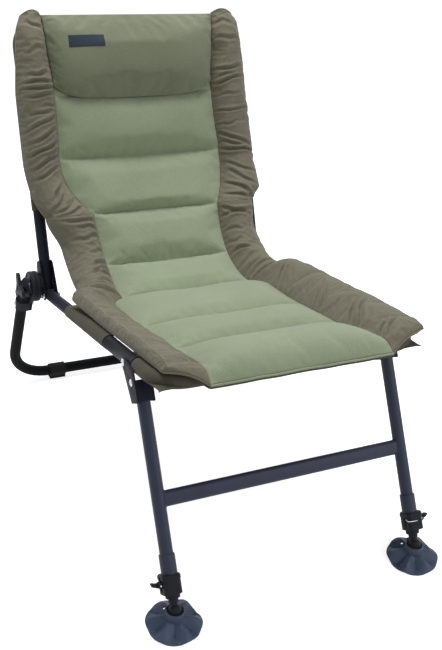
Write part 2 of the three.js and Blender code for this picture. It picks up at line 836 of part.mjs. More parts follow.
// The same skin as padded, closed on itself round the Z axis.
function ringPad(angles, radii, upper, lower) {
  const around = angles.length;
  const rings = radii.length - 1;
  const count = around * radii.length;
  const at = (i, j, under = 0) => under * count + j * around + (i % around);
  const positions = [upper, lower].flatMap((sheet) =>
    radii.flatMap((radius) => angles.flatMap((angle) => sheet(angle, radius).toArray())),
  );
  const index = [];
  const quad = (a, b, c, d) => index.push(a, b, c, a, c, d);
  for (let i = 0; i < around; i++) {
    for (let j = 0; j < rings; j++) {
      quad(at(i, j), at(i + 1, j), at(i + 1, j + 1), at(i, j + 1));
      quad(at(i, j, 1), at(i, j + 1, 1), at(i + 1, j + 1, 1), at(i + 1, j, 1));
    }
    quad(at(i, 0, 1), at(i + 1, 0, 1), at(i + 1, 0), at(i, 0));
    quad(at(i + 1, rings, 1), at(i, rings, 1), at(i, rings), at(i + 1, rings));
  }
  return new THREE.BufferGeometry()
    .setAttribute("position", new THREE.Float32BufferAttribute(positions, 3))
    .setIndex(index);
}

// Rear leg: one bent tube with rubber feet on its ground bar
const rearPivotHeight =
  hingeHeight - backSetback * Math.sin(backLean) + backPivotRise * Math.cos(backLean);
const footPad = { drop: 7.5, wall: 3, half: 19.5, inset: 61, deep: 11, fit: 0.6 };
const barHeight = tubeRadius + footPad.drop;
const rearLegLength = (rearPivotHeight - barHeight) / Math.cos(rearLegLean);
const rearTubeTop = 40; // below the pivot

// Ratchet joint on the left, from the bracket outwards
const ratchet = {
  radius: 34,
  bossRadius: 24,
  boss: 8, // holds the housing off the bracket, clear of the hinge bolt's head
  thick: 9,
  shell: 15.8,
  armFoot: 64,
  knobOut: 60, // inner face of the knob's lobes, out from the side tube
  knobRadius: 34,
  knobThick: 7,
  knobLobe: 9,
  hubRadius: 13,
  springRadius: 11,
  springThick: 2,
  springCone: 2,
  boltDrop: 53,
};
const ratchetFrom = plateOuter + clearance;
const housingTo = ratchetFrom + ratchet.boss + ratchet.thick;
const armFrom = housingTo + clearance;
const armTo = armFrom + ratchet.thick;
const springFrom = armTo + clearance;
const hubFrom = springFrom + ratchet.springThick + ratchet.springCone + clearance;
const knobTo = ratchet.knobOut + ratchet.knobThick;

function addRearLeg() {
  const half = halfFrame + rearOut;
  const corners = [
    new THREE.Vector3(-half, 0, -rearTubeTop),
    new THREE.Vector3(-half, 0, -rearLegLength),
    new THREE.Vector3(half, 0, -rearLegLength),
    new THREE.Vector3(half, 0, -rearTubeTop),
  ];
  const tube = alongPath(ring(tubeRadius, tubeRadius - tubeWall), bentPath(corners, rearLegBend));
  const holes = sides.map((side) =>
    hole(side * (half - tubeRadius - overrun), side * (half + tubeRadius + overrun), 0, -ratchet.boltDrop),
  );
  rearLeg.add(mesh("rear_leg", cut(tube, ...holes), blackPaint));
  for (const side of sides) {
    const group = new THREE.Group();
    group.position.set(out(side, -footPad.inset), 0, -rearLegLength);
    group.rotation.x = -rearLegLean;
    group.add(mesh("rear_foot_" + sideName(side), footClip(), rubber));
    rearLeg.add(group);
  }
}

function footClip() {
  const bore = tubeRadius + footPad.fit;
  const outer = bore + footPad.wall;
  const body = join(
    rodX(outer, -footPad.half, footPad.half, 0, 0, tubeSides),
    block(-footPad.half, footPad.half, -footPad.deep, footPad.deep, -barHeight, 0),
  );
  return cut(body, rodX(bore, -footPad.half - overrun, footPad.half + overrun, 0, 0, tubeSides));
}

function addRatchet() {
  const side = left;
  const x = (distance) => out(side, distance);
  const round = (radius, from) => rodX(radius, x(from), x(housingTo), backSetback, backPivotRise, discSides);
  const disc = cut(
    join(round(ratchet.bossRadius, ratchetFrom), round(ratchet.radius, ratchetFrom + ratchet.boss)),
    hole(x(0), x(knobTo), backSetback, backPivotRise),
  );
  back.add(mesh("ratchet_housing", disc, blackPlastic));
  back.add(
    mesh(
      "ratchet_bolt",
      boltX(x(-plateOuter - clearance), x(hubFrom + knobRecess), backSetback, backPivotRise),
      zinc,
    ),
  );
  const knobGroup = new THREE.Group();
  knobGroup.position.set(0, backSetback, backPivotRise);
  back.add(knobGroup);
  const lobes = Array.from({ length: knobArms }, (_, i) => {
    const angle = (2 * Math.PI * i) / knobArms + Math.PI / 2;
    const reach = ratchet.knobRadius - ratchet.knobLobe;
    return plateX(
      wrapped([
        [0, 0, ratchet.hubRadius],
        [reach * Math.cos(angle), reach * Math.sin(angle), ratchet.knobLobe],
      ]),
      x(ratchet.knobOut),
      x(knobTo),
    );
  });
  const knob = cut(
    join(rodX(ratchet.hubRadius, x(hubFrom), x(knobTo), 0, 0, tubeSides), ...lobes),
    hole(x(0), x(knobTo + overrun)),
    rodX(knobSocket, x(hubFrom + knobRecess), x(knobTo + overrun)),
  );
  knobGroup.add(mesh("ratchet_knob", knob, blackPlastic));
  const washer = new THREE.LatheGeometry(
    [
      new THREE.Vector2(boltRadius + clearance, ratchet.springCone),
      new THREE.Vector2(ratchet.springRadius, 0),
      new THREE.Vector2(ratchet.springRadius, ratchet.springThick),
      new THREE.Vector2(boltRadius + clearance, ratchet.springCone + ratchet.springThick),
      new THREE.Vector2(boltRadius + clearance, ratchet.springCone),
    ],
    tubeSides,
  )
    .rotateZ(Math.PI / 2)
    .translate(x(springFrom), 0, 0);
  knobGroup.add(mesh("ratchet_spring", washer, zinc));

  const arm = join(
    rodX(ratchet.radius, x(armFrom), x(armTo), 0, 0, discSides),
    block(x(armFrom), x(armTo), -ratchet.shell, ratchet.shell, -ratchet.armFoot, 0),
    rodZ(ratchet.shell, -ratchet.armFoot, -rearTubeTop + armCap, x(rearOut), 0, tubeSides),
    block(x(armFrom), x(rearOut), -ratchet.shell, ratchet.shell, -ratchet.armFoot, -rearTubeTop + armCap),
  );
  rearLeg.add(
    mesh(
      "ratchet_arm",
      cut(
        arm,
        rodZ(
          tubeRadius + clearance,
          -ratchet.armFoot - overrun,
          -rearTubeTop + clearance,
          x(rearOut),
          0,
          tubeSides,
        ),
        hole(x(0), x(armTo + overrun)),
        hole(x(0), x(rearOut + ratchet.shell + overrun), 0, -ratchet.boltDrop),
      ),
      blackPlastic,
    ),
  );
  rearLeg.add(
    mesh(
      "rear_leg_bolt_left",
      boltX(
        x(rearOut + ratchet.shell + clearance),
        x(armFrom - clearance - bolt.headShare),
        0,
        -ratchet.boltDrop,
      ),
      zinc,
    ),
  );
}
const knobArms = 3;
const knobRecess = 11; // depth of the nut's seat in the hub
const knobSocket = 6.8; // round the nut
const armCap = 3.4;

// Plain pivot on the right: a cranked strap from the bracket to the leg's tube. Its boss holds it
// clear of the hinge bolt's head.
const strap = { thick: 4, half: 11, boss: 4.2, bossRadius: 9, crankTop: 16, crankFoot: 34, foot: 66 };

function addPlainPivot() {
  const side = right;
  const bossFrom = plateOuter + clearance;
  const strapFrom = bossFrom + strap.boss;
  const strapOuter = rearOut - tubeRadius - clearance;
  const outline = [
    [strapFrom, strap.half],
    [strapFrom, -strap.crankTop],
    [strapOuter - strap.thick, -strap.crankFoot],
    [strapOuter - strap.thick, -strap.foot],
    [strapOuter, -strap.foot],
    [strapOuter, -strap.crankFoot + strap.thick],
    [strapFrom + strap.thick, -strap.crankTop + strap.thick],
    [strapFrom + strap.thick, strap.half],
  ].map(([x, z]) => new THREE.Vector2(out(side, x), z));
  const bent = new THREE.ExtrudeGeometry(new THREE.Shape(outline), {
    depth: 2 * strap.half,
    bevelEnabled: false,
    steps: 1,
  })
    .rotateX(Math.PI / 2)
    .translate(0, strap.half, 0);
  const bossTo = strapFrom + strap.thick / 2;
  const boss = rodX(strap.bossRadius, out(side, bossFrom), out(side, bossTo), 0, 0, tubeSides);
  const past = [out(side, 0), out(side, rearOut)];
  rearLeg.add(
    mesh(
      "pivot_strap_right",
      cut(join(bent, boss), hole(...past), hole(...past, 0, -ratchet.boltDrop)),
      blackPaint,
    ),
  );
  back.add(
    mesh(
      "pivot_bolt_right",
      boltX(
        out(side, strapFrom + strap.thick + clearance),
        out(side, -plateOuter - clearance),
        backSetback,
        backPivotRise,
      ),
      zinc,
    ),
  );
  rearLeg.add(
    mesh(
      "rear_leg_bolt_right",
      boltX(
        out(side, rearOut + tubeRadius + clearance),
        out(side, strapOuter - strap.thick - clearance),
        0,
        -ratchet.boltDrop,
      ),
      zinc,
    ),
  );
}

// Mattress. Seams across it, as distances from the hinge bolt along the seat or up the back
const thighSeamBack = 137; // from the front tube's centre
const seatSeamBack = 289;
const topSeamOver = 12; // past the top tube's centre
const headSeamBelow = 160; // below it
const backSeamBelow = 299;
const seams = {
  thigh: seatDepth - thighSeamBack,
  seat: seatDepth - seatSeamBack,
  crease: 167,
  waist: 169,
  back: backLength - backSeamBelow,
  head: backLength - headSeamBelow,
  top: backLength + topSeamOver,
};
const creaseLift = 13; // the seat pad leaves the sling towards the crease
const liftFrom = seams.seat; // where it starts to leave
const waistLift = 44; // the back pad stands off the sling at its waist
const waistLiftFrom = 300; // height at which it meets the sling
const bridgeEase = 78; // how straight the bridge leaves each end
const dipLag = 14; // the mattress starts to dip after the sling does
const dipShare = 0.82;
const padColumns = 12;
const channelSteps = 4;
const crownPower = 0.6;
const edgePower = 6;

const seatEdge = -seatDepth - matOverhang;
const seatSeams = [seatEdge, -seams.thigh, -seams.seat, -seams.crease];
const backSeams = [seams.waist, seams.back, seams.head, seams.top];
const pillow = { full: 30, foot: 9, corner: 30, power: 0.5, fit: 0.8 };
const flareRise = 38; // from the waist to where the bolster has flared out over the side tube
const flareTop = seams.waist + flareRise;
const cornerBelow = 21; // top tube's centre to where the bolster's top corner starts to round
const cornerFoot = backLength - cornerBelow;

// Stations along a run of channels, with any other places that a surface must follow.
function channelRows(list, extras) {
  const even = list.slice(1).flatMap((end, i) => spaced(list[i], end, channelSteps));
  return [...new Set([...even, ...extras])].sort((a, b) => a - b);
}
const droopFrom = seatDepth + sleeveRadius / 2; // the front edge hangs down past here
const seatRows = channelRows(seatSeams, [-seatDepth - sleeveRadius, -droopFrom]);
const backRows = channelRows(backSeams, [flareTop, seams.head - pillow.foot]);

// Fullness of a channel at a place: none at its seams.
function crown(list, place) {
  const phase = between(list.map((seam, i) => [seam, i]), place) % 1;
  return Math.sin(Math.PI * phase) ** crownPower;
}

// Columns from -1 to 1 that crowd to both edges, and how full the pad is at each.
const padAcross = spaced(0, Math.PI, padColumns).map((angle) => -Math.cos(angle));
const fullAt = (share) => 1 - Math.abs(share) ** edgePower;

const seatHalf = (y) =>
  between(
    [
      [seatEdge, greenHalfFront],
      [-seams.thigh, greenHalfThigh],
      [-seams.seat, greenHalfSeat],
      [-seams.crease, greenHalfCrease],
    ],
    y,
  );
const backHalf = (z) =>
  between(
    [
      [seams.waist, greenHalfWaist],
      [seams.back, greenHalfBack],
      [seams.top, greenHalfHead],
    ],
    z,
  );
const matHalf = (z) =>
  between(
    [
      [seams.waist, matHalfWaist],
      [flareTop, matHalfBack],
      [seams.head, matHalfHead],
      [cornerFoot, matHalfTop],
      [seams.top, matHalfCorner],
    ],
    z,
  );

const seatDip = (x, y) => dipShare * dip(x, y + seatDepth - dipLag);
const backDip = (x, z) => dipShare * dip(x, backLength - z - dipLag);

// Underside of the mattress over the seat.
function seatUnder(x, y) {
  const past = Math.max(0, -y - droopFrom) / (-seatEdge - droopFrom);
  const lift = Math.max(0, y + liftFrom) / (liftFrom - seams.crease);
  const rest = sleeveRadius + clearance - matDroop * past ** 2 + creaseLift * lift ** 2;
  return rest - seatDip(x, y);
}

// Rear face of the mattress on the back.
function backUnder(x, z) {
  const lift = Math.max(0, waistLiftFrom - z) / (waistLiftFrom - seams.waist);
  return backSetback - sleeveRadius - clearance - waistLift * lift ** 2 + backDip(x, z);
}

function addSeatPad() {
  const sheet = (thick) => (u, y) => {
    const x = u * seatHalf(y);
    return new THREE.Vector3(x, y, seatUnder(x, y) + thick(u, y));
  };
  const full = (u, y) => {
    const base = THREE.MathUtils.clamp(matHem + (y - seatEdge), matHem, matValley);
    return base + matCrown * crown(seatSeams, y) * fullAt(u);
  };
  seat.add(mesh("seat_pad", padded(padAcross, seatRows, sheet(full), sheet(() => 0)), fleece));
}

// A bolster's section from the fleece to its outer edge: [share of its width, share of its height].
const seatRollShares = [
  [0, 0],
  [0.1, 0.3],
  [0.26, 0.62],
  [0.44, 0.88],
  [0.62, 1],
  [0.78, 0.93],
  [0.9, 0.68],
  [0.97, 0.36],
  [1, 0],
];
const backRollShares = [
  [0, 0],
  [0.1, 0.42],
  [0.24, 0.8],
  [0.4, 1],
  [0.56, 0.95],
  [0.72, 0.72],
  [0.84, 0.46],
  [0.93, 0.25],
  [1, 0],
];
const widthsOf = (shares) => shares.map(([width]) => width);
const seatRollFront = 28; // ridge of the seat bolsters above their hem
const seatRollRear = 44;
const seatRollSetback = 16; // outer front corner behind the front tube's centre
const outerRise = 5; // outer edge above the sleeve
const backRoll = 30; // ridge of the back bolsters above their hem
const backLip = 13; // their outer edge hangs this far down the side of the sleeve
const lipEnd = (seams.head + cornerFoot) / 2; // above here the edge rounds in over the tube
const backEar = 12; // their ridge rises past the headrest's top
const frontTuckShare = 0.4; // height left at a gathered end
const rearTuckShare = 0.75;
const frontSwellShare = 0.22; // share of the run over which the height grows
const rearSwellShare = 0.82;
const topTaperShare = 0.86; // share of the back's length below its taper

const runShare = (list, place) => (place - list[0]) / (list.at(-1) - list[0]);

function swell(share) {
  const front = THREE.MathUtils.smoothstep(share, -frontSwellShare, frontSwellShare);
  const rear = THREE.MathUtils.smoothstep(share, rearSwellShare, 1);
  return THREE.MathUtils.lerp(frontTuckShare, 1, front) * THREE.MathUtils.lerp(1, rearTuckShare, rear);
}

function addSeatBolsters() {
  const sheet = (thick) => (width, station) => {
    const share = runShare(seatSeams, station);
    const front = THREE.MathUtils.lerp(seatEdge, -seatDepth + seatRollSetback, width);
    const y = THREE.MathUtils.lerp(front, -seams.crease, share);
    const x = THREE.MathUtils.lerp(seatHalf(station) + clearance, matHalfSeat, width);
    const rise = outerRise * THREE.MathUtils.smoothstep(x, halfFrame, matHalfSeat);
    return new THREE.Vector3(-x, y, seatUnder(x, y) + rise + thick(width, share));
  };
  const full = (width, share) =>
    matHem +
    THREE.MathUtils.lerp(seatRollFront, seatRollRear, share) * swell(share) * between(seatRollShares, width);
  const across = widthsOf(seatRollShares).toReversed();
  const shape = padded(across, seatRows, sheet(full), sheet(() => 0));
  for (const side of sides)
    seat.add(mesh("seat_bolster_" + sideName(side), forSide(side, shape, left), bolsterCloth));
}

function addBackPad() {
  const sheet = (thick) => (u, z) => {
    const x = u * backHalf(z);
    return new THREE.Vector3(x, backUnder(x, z) - thick(u, z), z);
  };
  back.add(mesh("back_pad", padded(padAcross, backRows, sheet(backFull), sheet(() => 0)), fleece));
}

// Thickness of the back pad, which lies flat under the headrest.
const backFull = (u, z) =>
  matValley + (z < seams.head ? matCrown * crown(backSeams, z) * fullAt(u) : 0);

// The headrest pillow is sewn over the top channel, and its foot hangs over the one below.
const pillowFoot = seams.head - pillow.foot;

function pillowPoint(u, station, thick) {
  const share = (station - pillowFoot) / (seams.top - pillowFoot);
  const foot = pillowFoot + pillow.corner * Math.abs(u) ** edgePower;
  const z = THREE.MathUtils.lerp(foot, seams.top, share);
  const x = u * greenHalfHead;
  const bulge = matHem + pillow.full * Math.sin(Math.PI * share) ** pillow.power * fullAt(u);
  const y = backUnder(x, z) - backFull(u, z) - pillow.fit - (thick ? bulge : 0);
  return new THREE.Vector3(x, y, z);
}

function addHeadrest() {
  const rows = backRows.filter((z) => z >= pillowFoot);
  const shape = padded(
    padAcross,
    rows,
    (u, z) => pillowPoint(u, z, true),
    (u, z) => pillowPoint(u, z, false),
  );
  back.add(mesh("headrest_pillow", shape, fleece));
}

function addBackBolsters() {
  const sheet = (thick) => (width, z) => {
    const x = THREE.MathUtils.lerp(backHalf(z) + clearance, matHalf(z), width);
    const lip = width === 1 ? backLip * (1 - THREE.MathUtils.smoothstep(z, seams.head, lipEnd)) : 0;
    const ear = backEar * THREE.MathUtils.smoothstep(z, seams.head, seams.top);
    const y = backUnder(x, z) + lip - thick(width, z);
    return new THREE.Vector3(x, y, z + ear * between(backRollShares, width));
  };
  const full = (width, z) => {
    const taper = THREE.MathUtils.smoothstep(runShare(backSeams, z), topTaperShare, 1);
    return matHem + backRoll * (1 - (1 - frontTuckShare) * taper) * between(backRollShares, width);
  };
  const shape = padded(widthsOf(backRollShares), backRows, sheet(full), sheet(() => 0));
  for (const side of sides)
    back.add(mesh("back_bolster_" + sideName(side), forSide(side, shape), bolsterCloth));
}

// The part of the mattress that bridges from the seat to the back, in the chair's own axes:
// a point at a share of its length, out from its underside.
function bridge() {
  const seatTurn = new THREE.Matrix4().makeRotationX(-seatPitch);
  const backTurn = new THREE.Matrix4().makeRotationX(-backLean);
  const seatWay = new THREE.Vector3(0, 1, 0).applyMatrix4(seatTurn);
  const backWay = new THREE.Vector3(0, 0, 1).applyMatrix4(backTurn);
  const seatUp = new THREE.Vector3(0, 0, 1).applyMatrix4(seatTurn);
  const backOut = new THREE.Vector3(0, -1, 0).applyMatrix4(backTurn);
  return (share, x, thick) => {
    const under = seatUnder(x, -seams.crease);
    const start = new THREE.Vector3(0, -seams.crease + clearance, under).applyMatrix4(seatTurn);
    const behind = backUnder(x, seams.waist);
    const end = new THREE.Vector3(0, behind, seams.waist - clearance).applyMatrix4(backTurn);
    const curve = new THREE.CubicBezierCurve3(
      start,
      start.clone().addScaledVector(seatWay, bridgeEase),
      end.clone().addScaledVector(backWay, -bridgeEase),
      end,
    );
    const facing = seatUp.clone().lerp(backOut, share).normalize();
    const point = curve.getPoint(share).addScaledVector(facing, thick);
    point.x = x;
    return point;
  };
}

function addLumbar() {
  const at = bridge();
  const lumbarShares = [0, 0.5, 1]; // its seams
  const halves = [greenHalfCrease, greenHalfLumbar, greenHalfWaist];
  const half = (share) => between(lumbarShares.map((seam, i) => [seam, halves[i]]), share);
  const rows = channelRows(lumbarShares, []);
  const full = (u, share) => matValley + matCrown * crown(lumbarShares, share) * fullAt(u);
  const pad = padded(
    padAcross,
    rows,
    (u, share) => at(share, u * half(share), full(u, share)),
    (u, share) => at(share, u * half(share), 0),
  );
  chair.add(mesh("lumbar_pad", pad, fleece));

  const outer = (width, share) => THREE.MathUtils.lerp(half(share) + clearance, matHalfWaist, width);
  const tall = (share) => THREE.MathUtils.lerp(seatRollRear * rearTuckShare, backRoll, share);
  const rolled = (width, share) =>
    THREE.MathUtils.lerp(between(seatRollShares, width), between(backRollShares, width), share);
  const roll = padded(
    widthsOf(backRollShares),
    rows,
    (width, share) => at(share, outer(width, share), matHem + tall(share) * rolled(width, share)),
    (width, share) => at(share, outer(width, share), 0),
  );
  for (const side of sides)
    chair.add(mesh("lumbar_bolster_" + sideName(side), forSide(side, roll), bolsterCloth));
}

// A pocket behind the back that hooks the mattress over the top tube.
const hoodTall = 144; // below the top tube's centre
const hoodPast = 10; // past the side tube's centre
const hoodCorner = 62;
const hoodFoot = backLength - hoodTall;
const hoodHalf = halfFrame + hoodPast;

function addHood() {
  const front = backSetback - sleeveRadius;
  const rear = backSetback + sleeveRadius + clearance;
  const top = backLength + sleeveRadius + clearance;
  const plan = new THREE.Shape();
  plan.moveTo(-hoodHalf, hoodFoot);
  plan.lineTo(hoodHalf, hoodFoot);
  plan.lineTo(hoodHalf, top - hoodCorner);
  plan.absarc(hoodHalf - hoodCorner, top - hoodCorner, hoodCorner, 0, Math.PI / 2);
  plan.absarc(hoodCorner - hoodHalf, top - hoodCorner, hoodCorner, Math.PI / 2, Math.PI);
  const sheet = new THREE.ExtrudeGeometry(plan, {
    depth: fabric,
    bevelEnabled: false,
    steps: 1,
    curveSegments: 2 * bendSteps,
  })
    .rotateX(Math.PI / 2)
    .translate(0, rear + fabric, 0);
  const straight = hoodHalf - hoodCorner;
  const fold = block(-straight, straight, front, rear + fabric, top - fabric, top + fabric);
  const under = block(-hoodHalf, hoodHalf, front, rear, top - 2 * fabric, top);
  back.add(mesh("mattress_hood", cut(join(sheet, fold), under), bolsterCloth));
}

const tag = { inset: 31, wide: 81, drop: 48, tall: 26, thick: 1, bedding: 0.5 };

// A bare patch on the pillow, as far forward as the fullest point behind it.
function addTag() {
  const fromX = tag.inset - greenHalfHead;
  const top = seams.top - tag.drop;
  const stations = spaced(top - tag.tall, top, 2);
  const places = spaced(fromX, fromX + tag.wide, 2);
  const face = Math.min(
    ...stations.flatMap((z) => places.map((x) => pillowPoint(x / greenHalfHead, z, true).y)),
  );
  const patch = block(
    fromX,
    fromX + tag.wide,
    face - tag.thick + tag.bedding,
    face + tag.bedding,
    top - tag.tall,
    top,
  );
  back.add(mesh("tag_patch", patch, tagCloth));
}

addSeatFrame();
addSeatSling();
addBackFrame();
addHingeBolts();
addFrontLegs();
addFeet();
addRearLeg();
addRatchet();
addPlainPivot();
addSeatPad();
addSeatBolsters();
addLumbar();
addBackPad();
addBackBolsters();
addHeadrest();
addHood();
addTag();

// The chair stands on z = 0 with its length centred on y = 0.
const root = new THREE.Group();
root.add(chair);
chair.position.z = hingeHeight;
root.updateMatrixWorld(true);
const box = new THREE.Box3().setFromObject(root, true);
chair.position.y = -(box.min.y + box.max.y) / 2;

export default root;
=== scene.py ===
# Folding bankside chair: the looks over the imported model, in metres, in the model's own axes.
import json
import math
import time

import bpy
import numpy as np
from mathutils import Matrix, Vector, noise
from mathutils.bvhtree import BVHTree


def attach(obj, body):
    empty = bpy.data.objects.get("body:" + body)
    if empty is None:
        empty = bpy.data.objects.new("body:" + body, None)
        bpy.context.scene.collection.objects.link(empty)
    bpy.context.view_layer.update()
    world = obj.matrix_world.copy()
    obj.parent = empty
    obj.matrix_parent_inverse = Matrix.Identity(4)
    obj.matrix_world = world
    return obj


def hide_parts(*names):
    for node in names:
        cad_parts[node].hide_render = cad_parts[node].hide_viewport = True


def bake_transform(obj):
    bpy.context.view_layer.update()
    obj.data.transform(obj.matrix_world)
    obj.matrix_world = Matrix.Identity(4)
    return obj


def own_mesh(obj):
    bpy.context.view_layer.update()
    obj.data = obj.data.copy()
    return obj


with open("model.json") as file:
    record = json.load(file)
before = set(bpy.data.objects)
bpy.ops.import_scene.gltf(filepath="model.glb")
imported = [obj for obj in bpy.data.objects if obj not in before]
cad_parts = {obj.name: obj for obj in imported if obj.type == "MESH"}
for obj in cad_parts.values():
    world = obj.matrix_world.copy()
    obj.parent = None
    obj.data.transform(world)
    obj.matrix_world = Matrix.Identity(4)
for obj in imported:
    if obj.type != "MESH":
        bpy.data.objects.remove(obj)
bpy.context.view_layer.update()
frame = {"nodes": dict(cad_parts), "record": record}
print("frame loaded")

mm = 0.001
sides = {"left": -1, "right": 1}


chair = {
    "hinge": (0, 253.52, 301),  # centre between the hinge bolts
    "seatPitch": 12.5,
    "backLean": 24.6,
    "halfFrame": 262,
    "tube": 12.5,
    "wall": 1.3,
    "frameBend": 52,
    "seatDepth": 633,
    "seatTail": 9,
    "backLength": 596,
    "backSetback": 18,
    "backTubeFoot": 16,
    "pivotRise": 24,
    "frontPivot": 495,
    "legLean": 31.5,
    "legAhead": 27.8,
    "ballHeight": 36,
    "rearWidth": 629,
    "rearLean": 20.2,
    "rearBend": 92,
    "barHeight": 20,
}


def turnX(degrees):
    return Matrix.Rotation(math.radians(degrees), 4, "X")


def moved(x, y, z):
    return Matrix.Translation((x, y, z))


toMetres = Matrix.Scale(mm, 4)
chairFrame = toMetres @ moved(*chair["hinge"])
seatFrame = chairFrame @ turnX(-chair["seatPitch"])
backFrame = chairFrame @ turnX(-chair["backLean"])
legFrame = seatFrame @ moved(0, -chair["frontPivot"], 0) @ turnX(chair["seatPitch"] - chair["legLean"])
backPivot = moved(0, chair["backSetback"], chair["pivotRise"])
rearFrame = backFrame @ backPivot @ turnX(chair["rearLean"] + chair["backLean"])


def angleOf(name):
    return math.radians(chair[name])


pivotHeight = chair["hinge"][2] + chair["frontPivot"] * math.sin(angleOf("seatPitch"))
legReach = pivotHeight + chair["legAhead"] * math.sin(angleOf("legLean")) - chair["ballHeight"]
legLength = legReach / math.cos(angleOf("legLean"))
backPivotHeight = (
    chair["hinge"][2]
    - chair["backSetback"] * math.sin(angleOf("backLean"))
    + chair["pivotRise"] * math.cos(angleOf("backLean"))
)
rearLength = (backPivotHeight - chair["barHeight"]) / math.cos(angleOf("rearLean"))


def footFrame(side):
    foot = moved(side * chair["halfFrame"], -chair["legAhead"], -legLength)
    return legFrame @ foot @ turnX(chair["legLean"])


camera = {
    "place": (-0.8897, -1.7081, 1.3646),
    "yaw": 28.5,
    "down": 28.4,
    "roll": 5.9,
    "lens": 56.8,
    "sensor": 36,
}


def addCamera():
    yaw, down, roll = (math.radians(camera[k]) for k in ("yaw", "down", "roll"))
    ahead = Vector((math.sin(yaw) * math.cos(down), math.cos(yaw) * math.cos(down), -math.sin(down)))
    across = Vector((math.cos(yaw), -math.sin(yaw), 0))
    up = across.cross(ahead)
    x = across * math.cos(roll) + up * math.sin(roll)
    y = up * math.cos(roll) - across * math.sin(roll)
    bpy.ops.object.camera_add(location=camera["place"])
    cam = bpy.context.object
    basis = Matrix((x, y, -ahead)).transposed().to_4x4()
    cam.matrix_world = Matrix.Translation(camera["place"]) @ basis
    cam.data.lens = camera["lens"]
    cam.data.sensor_fit = "AUTO"
    cam.data.sensor_width = camera["sensor"]
    cam.data.dof.use_dof = False
    bpy.context.scene.camera = cam


studio = {
    "world": 0.26,
    "floorGlow": 0.78,
    "aim": (0, 0, 0.4),
    "lamps": {
        "keyLight": ((-0.25, 0.75, 2.95), 1.5, 54),
        "fillLight": ((1.5, -2.2, 1.6), 1.6, 20),
        "backLight": ((0.3, 2.4, 2.0), 1.6, 8),
    },
}


def seenMix(tree, unseen, seen, output):  # seen goes to rays from the camera and those that a gloss sends on
    path = tree.nodes.new("ShaderNodeLightPath")
    total = path.outputs["Is Camera Ray"]
    for name in ("Is Glossy Ray", "Is Transmission Ray"):
        node = tree.nodes.new("ShaderNodeMath")
        node.operation = "MAXIMUM"
        tree.links.new(total, node.inputs[0])
        tree.links.new(path.outputs[name], node.inputs[1])
        total = node.outputs[0]
    mix = tree.nodes.new("ShaderNodeMixShader")
    for socket, value in zip(mix.inputs, (total, unseen, seen)):
        tree.links.new(value, socket)
    tree.links.new(mix.outputs[0], tree.nodes[output].inputs["Surface"])


def addWorld():
    bpy.context.scene.view_settings.view_transform = "Standard"
    world = bpy.data.worlds.new("studio")
    bpy.context.scene.world = world
    world.use_nodes = True
    tree = world.node_tree
    plain, white = tree.nodes["Background"], tree.nodes.new("ShaderNodeBackground")
    for node, strength in ((plain, studio["world"]), (white, 1)):
        node.inputs["Color"].default_value = (1, 1, 1, 1)
        node.inputs["Strength"].default_value = strength
    seenMix(tree, plain.outputs[0], white.outputs[0], "World Output")


def addLamps():
    for name, (place, size, power) in studio["lamps"].items():
        bpy.ops.object.light_add(type="AREA", location=place)
        lamp = bpy.context.object
        lamp.name = name
        lamp.data.shape = "SQUARE"
        lamp.data.size = size
        lamp.data.energy = power
        aim = Vector(studio["aim"]) - Vector(place)
        lamp.rotation_euler = aim.to_track_quat("-Z", "Y").to_euler()


def addFloor():
    bpy.ops.mesh.primitive_plane_add(size=30, location=(0, 0, 0))
    floor = bpy.context.object
    floor.name = "floor"
    made = bpy.data.materials.new("floorWhite")
    made.use_nodes = True
    tree = made.node_tree
    shader = tree.nodes["Principled BSDF"]
    shader.inputs["Base Color"].default_value = (0.93, 0.93, 0.93, 1)
    shader.inputs["Roughness"].default_value = 1
    shader.inputs["Specular IOR Level"].default_value = 0
    glow = tree.nodes.new("ShaderNodeEmission")
    glow.inputs["Strength"].default_value = studio["floorGlow"]
    both = tree.nodes.new("ShaderNodeAddShader")
    tree.links.new(shader.outputs[0], both.inputs[0])
    tree.links.new(glow.outputs[0], both.inputs[1])
    seenMix(tree, shader.outputs[0], both.outputs[0], "Material Output")
    floor.data.materials.append(made)


bpy.ops.object.select_all(action="DESELECT")
addCamera()
addWorld()
addLamps()
addFloor()
print("camera and studio")


def linear(code):  # from #rrggbb
    parts = [int(code[i : i + 2], 16) / 255 for i in (1, 3, 5)]
    return tuple(c / 12.92 if c <= 0.04045 else ((c + 0.055) / 1.055) ** 2.4 for c in parts) + (1,)


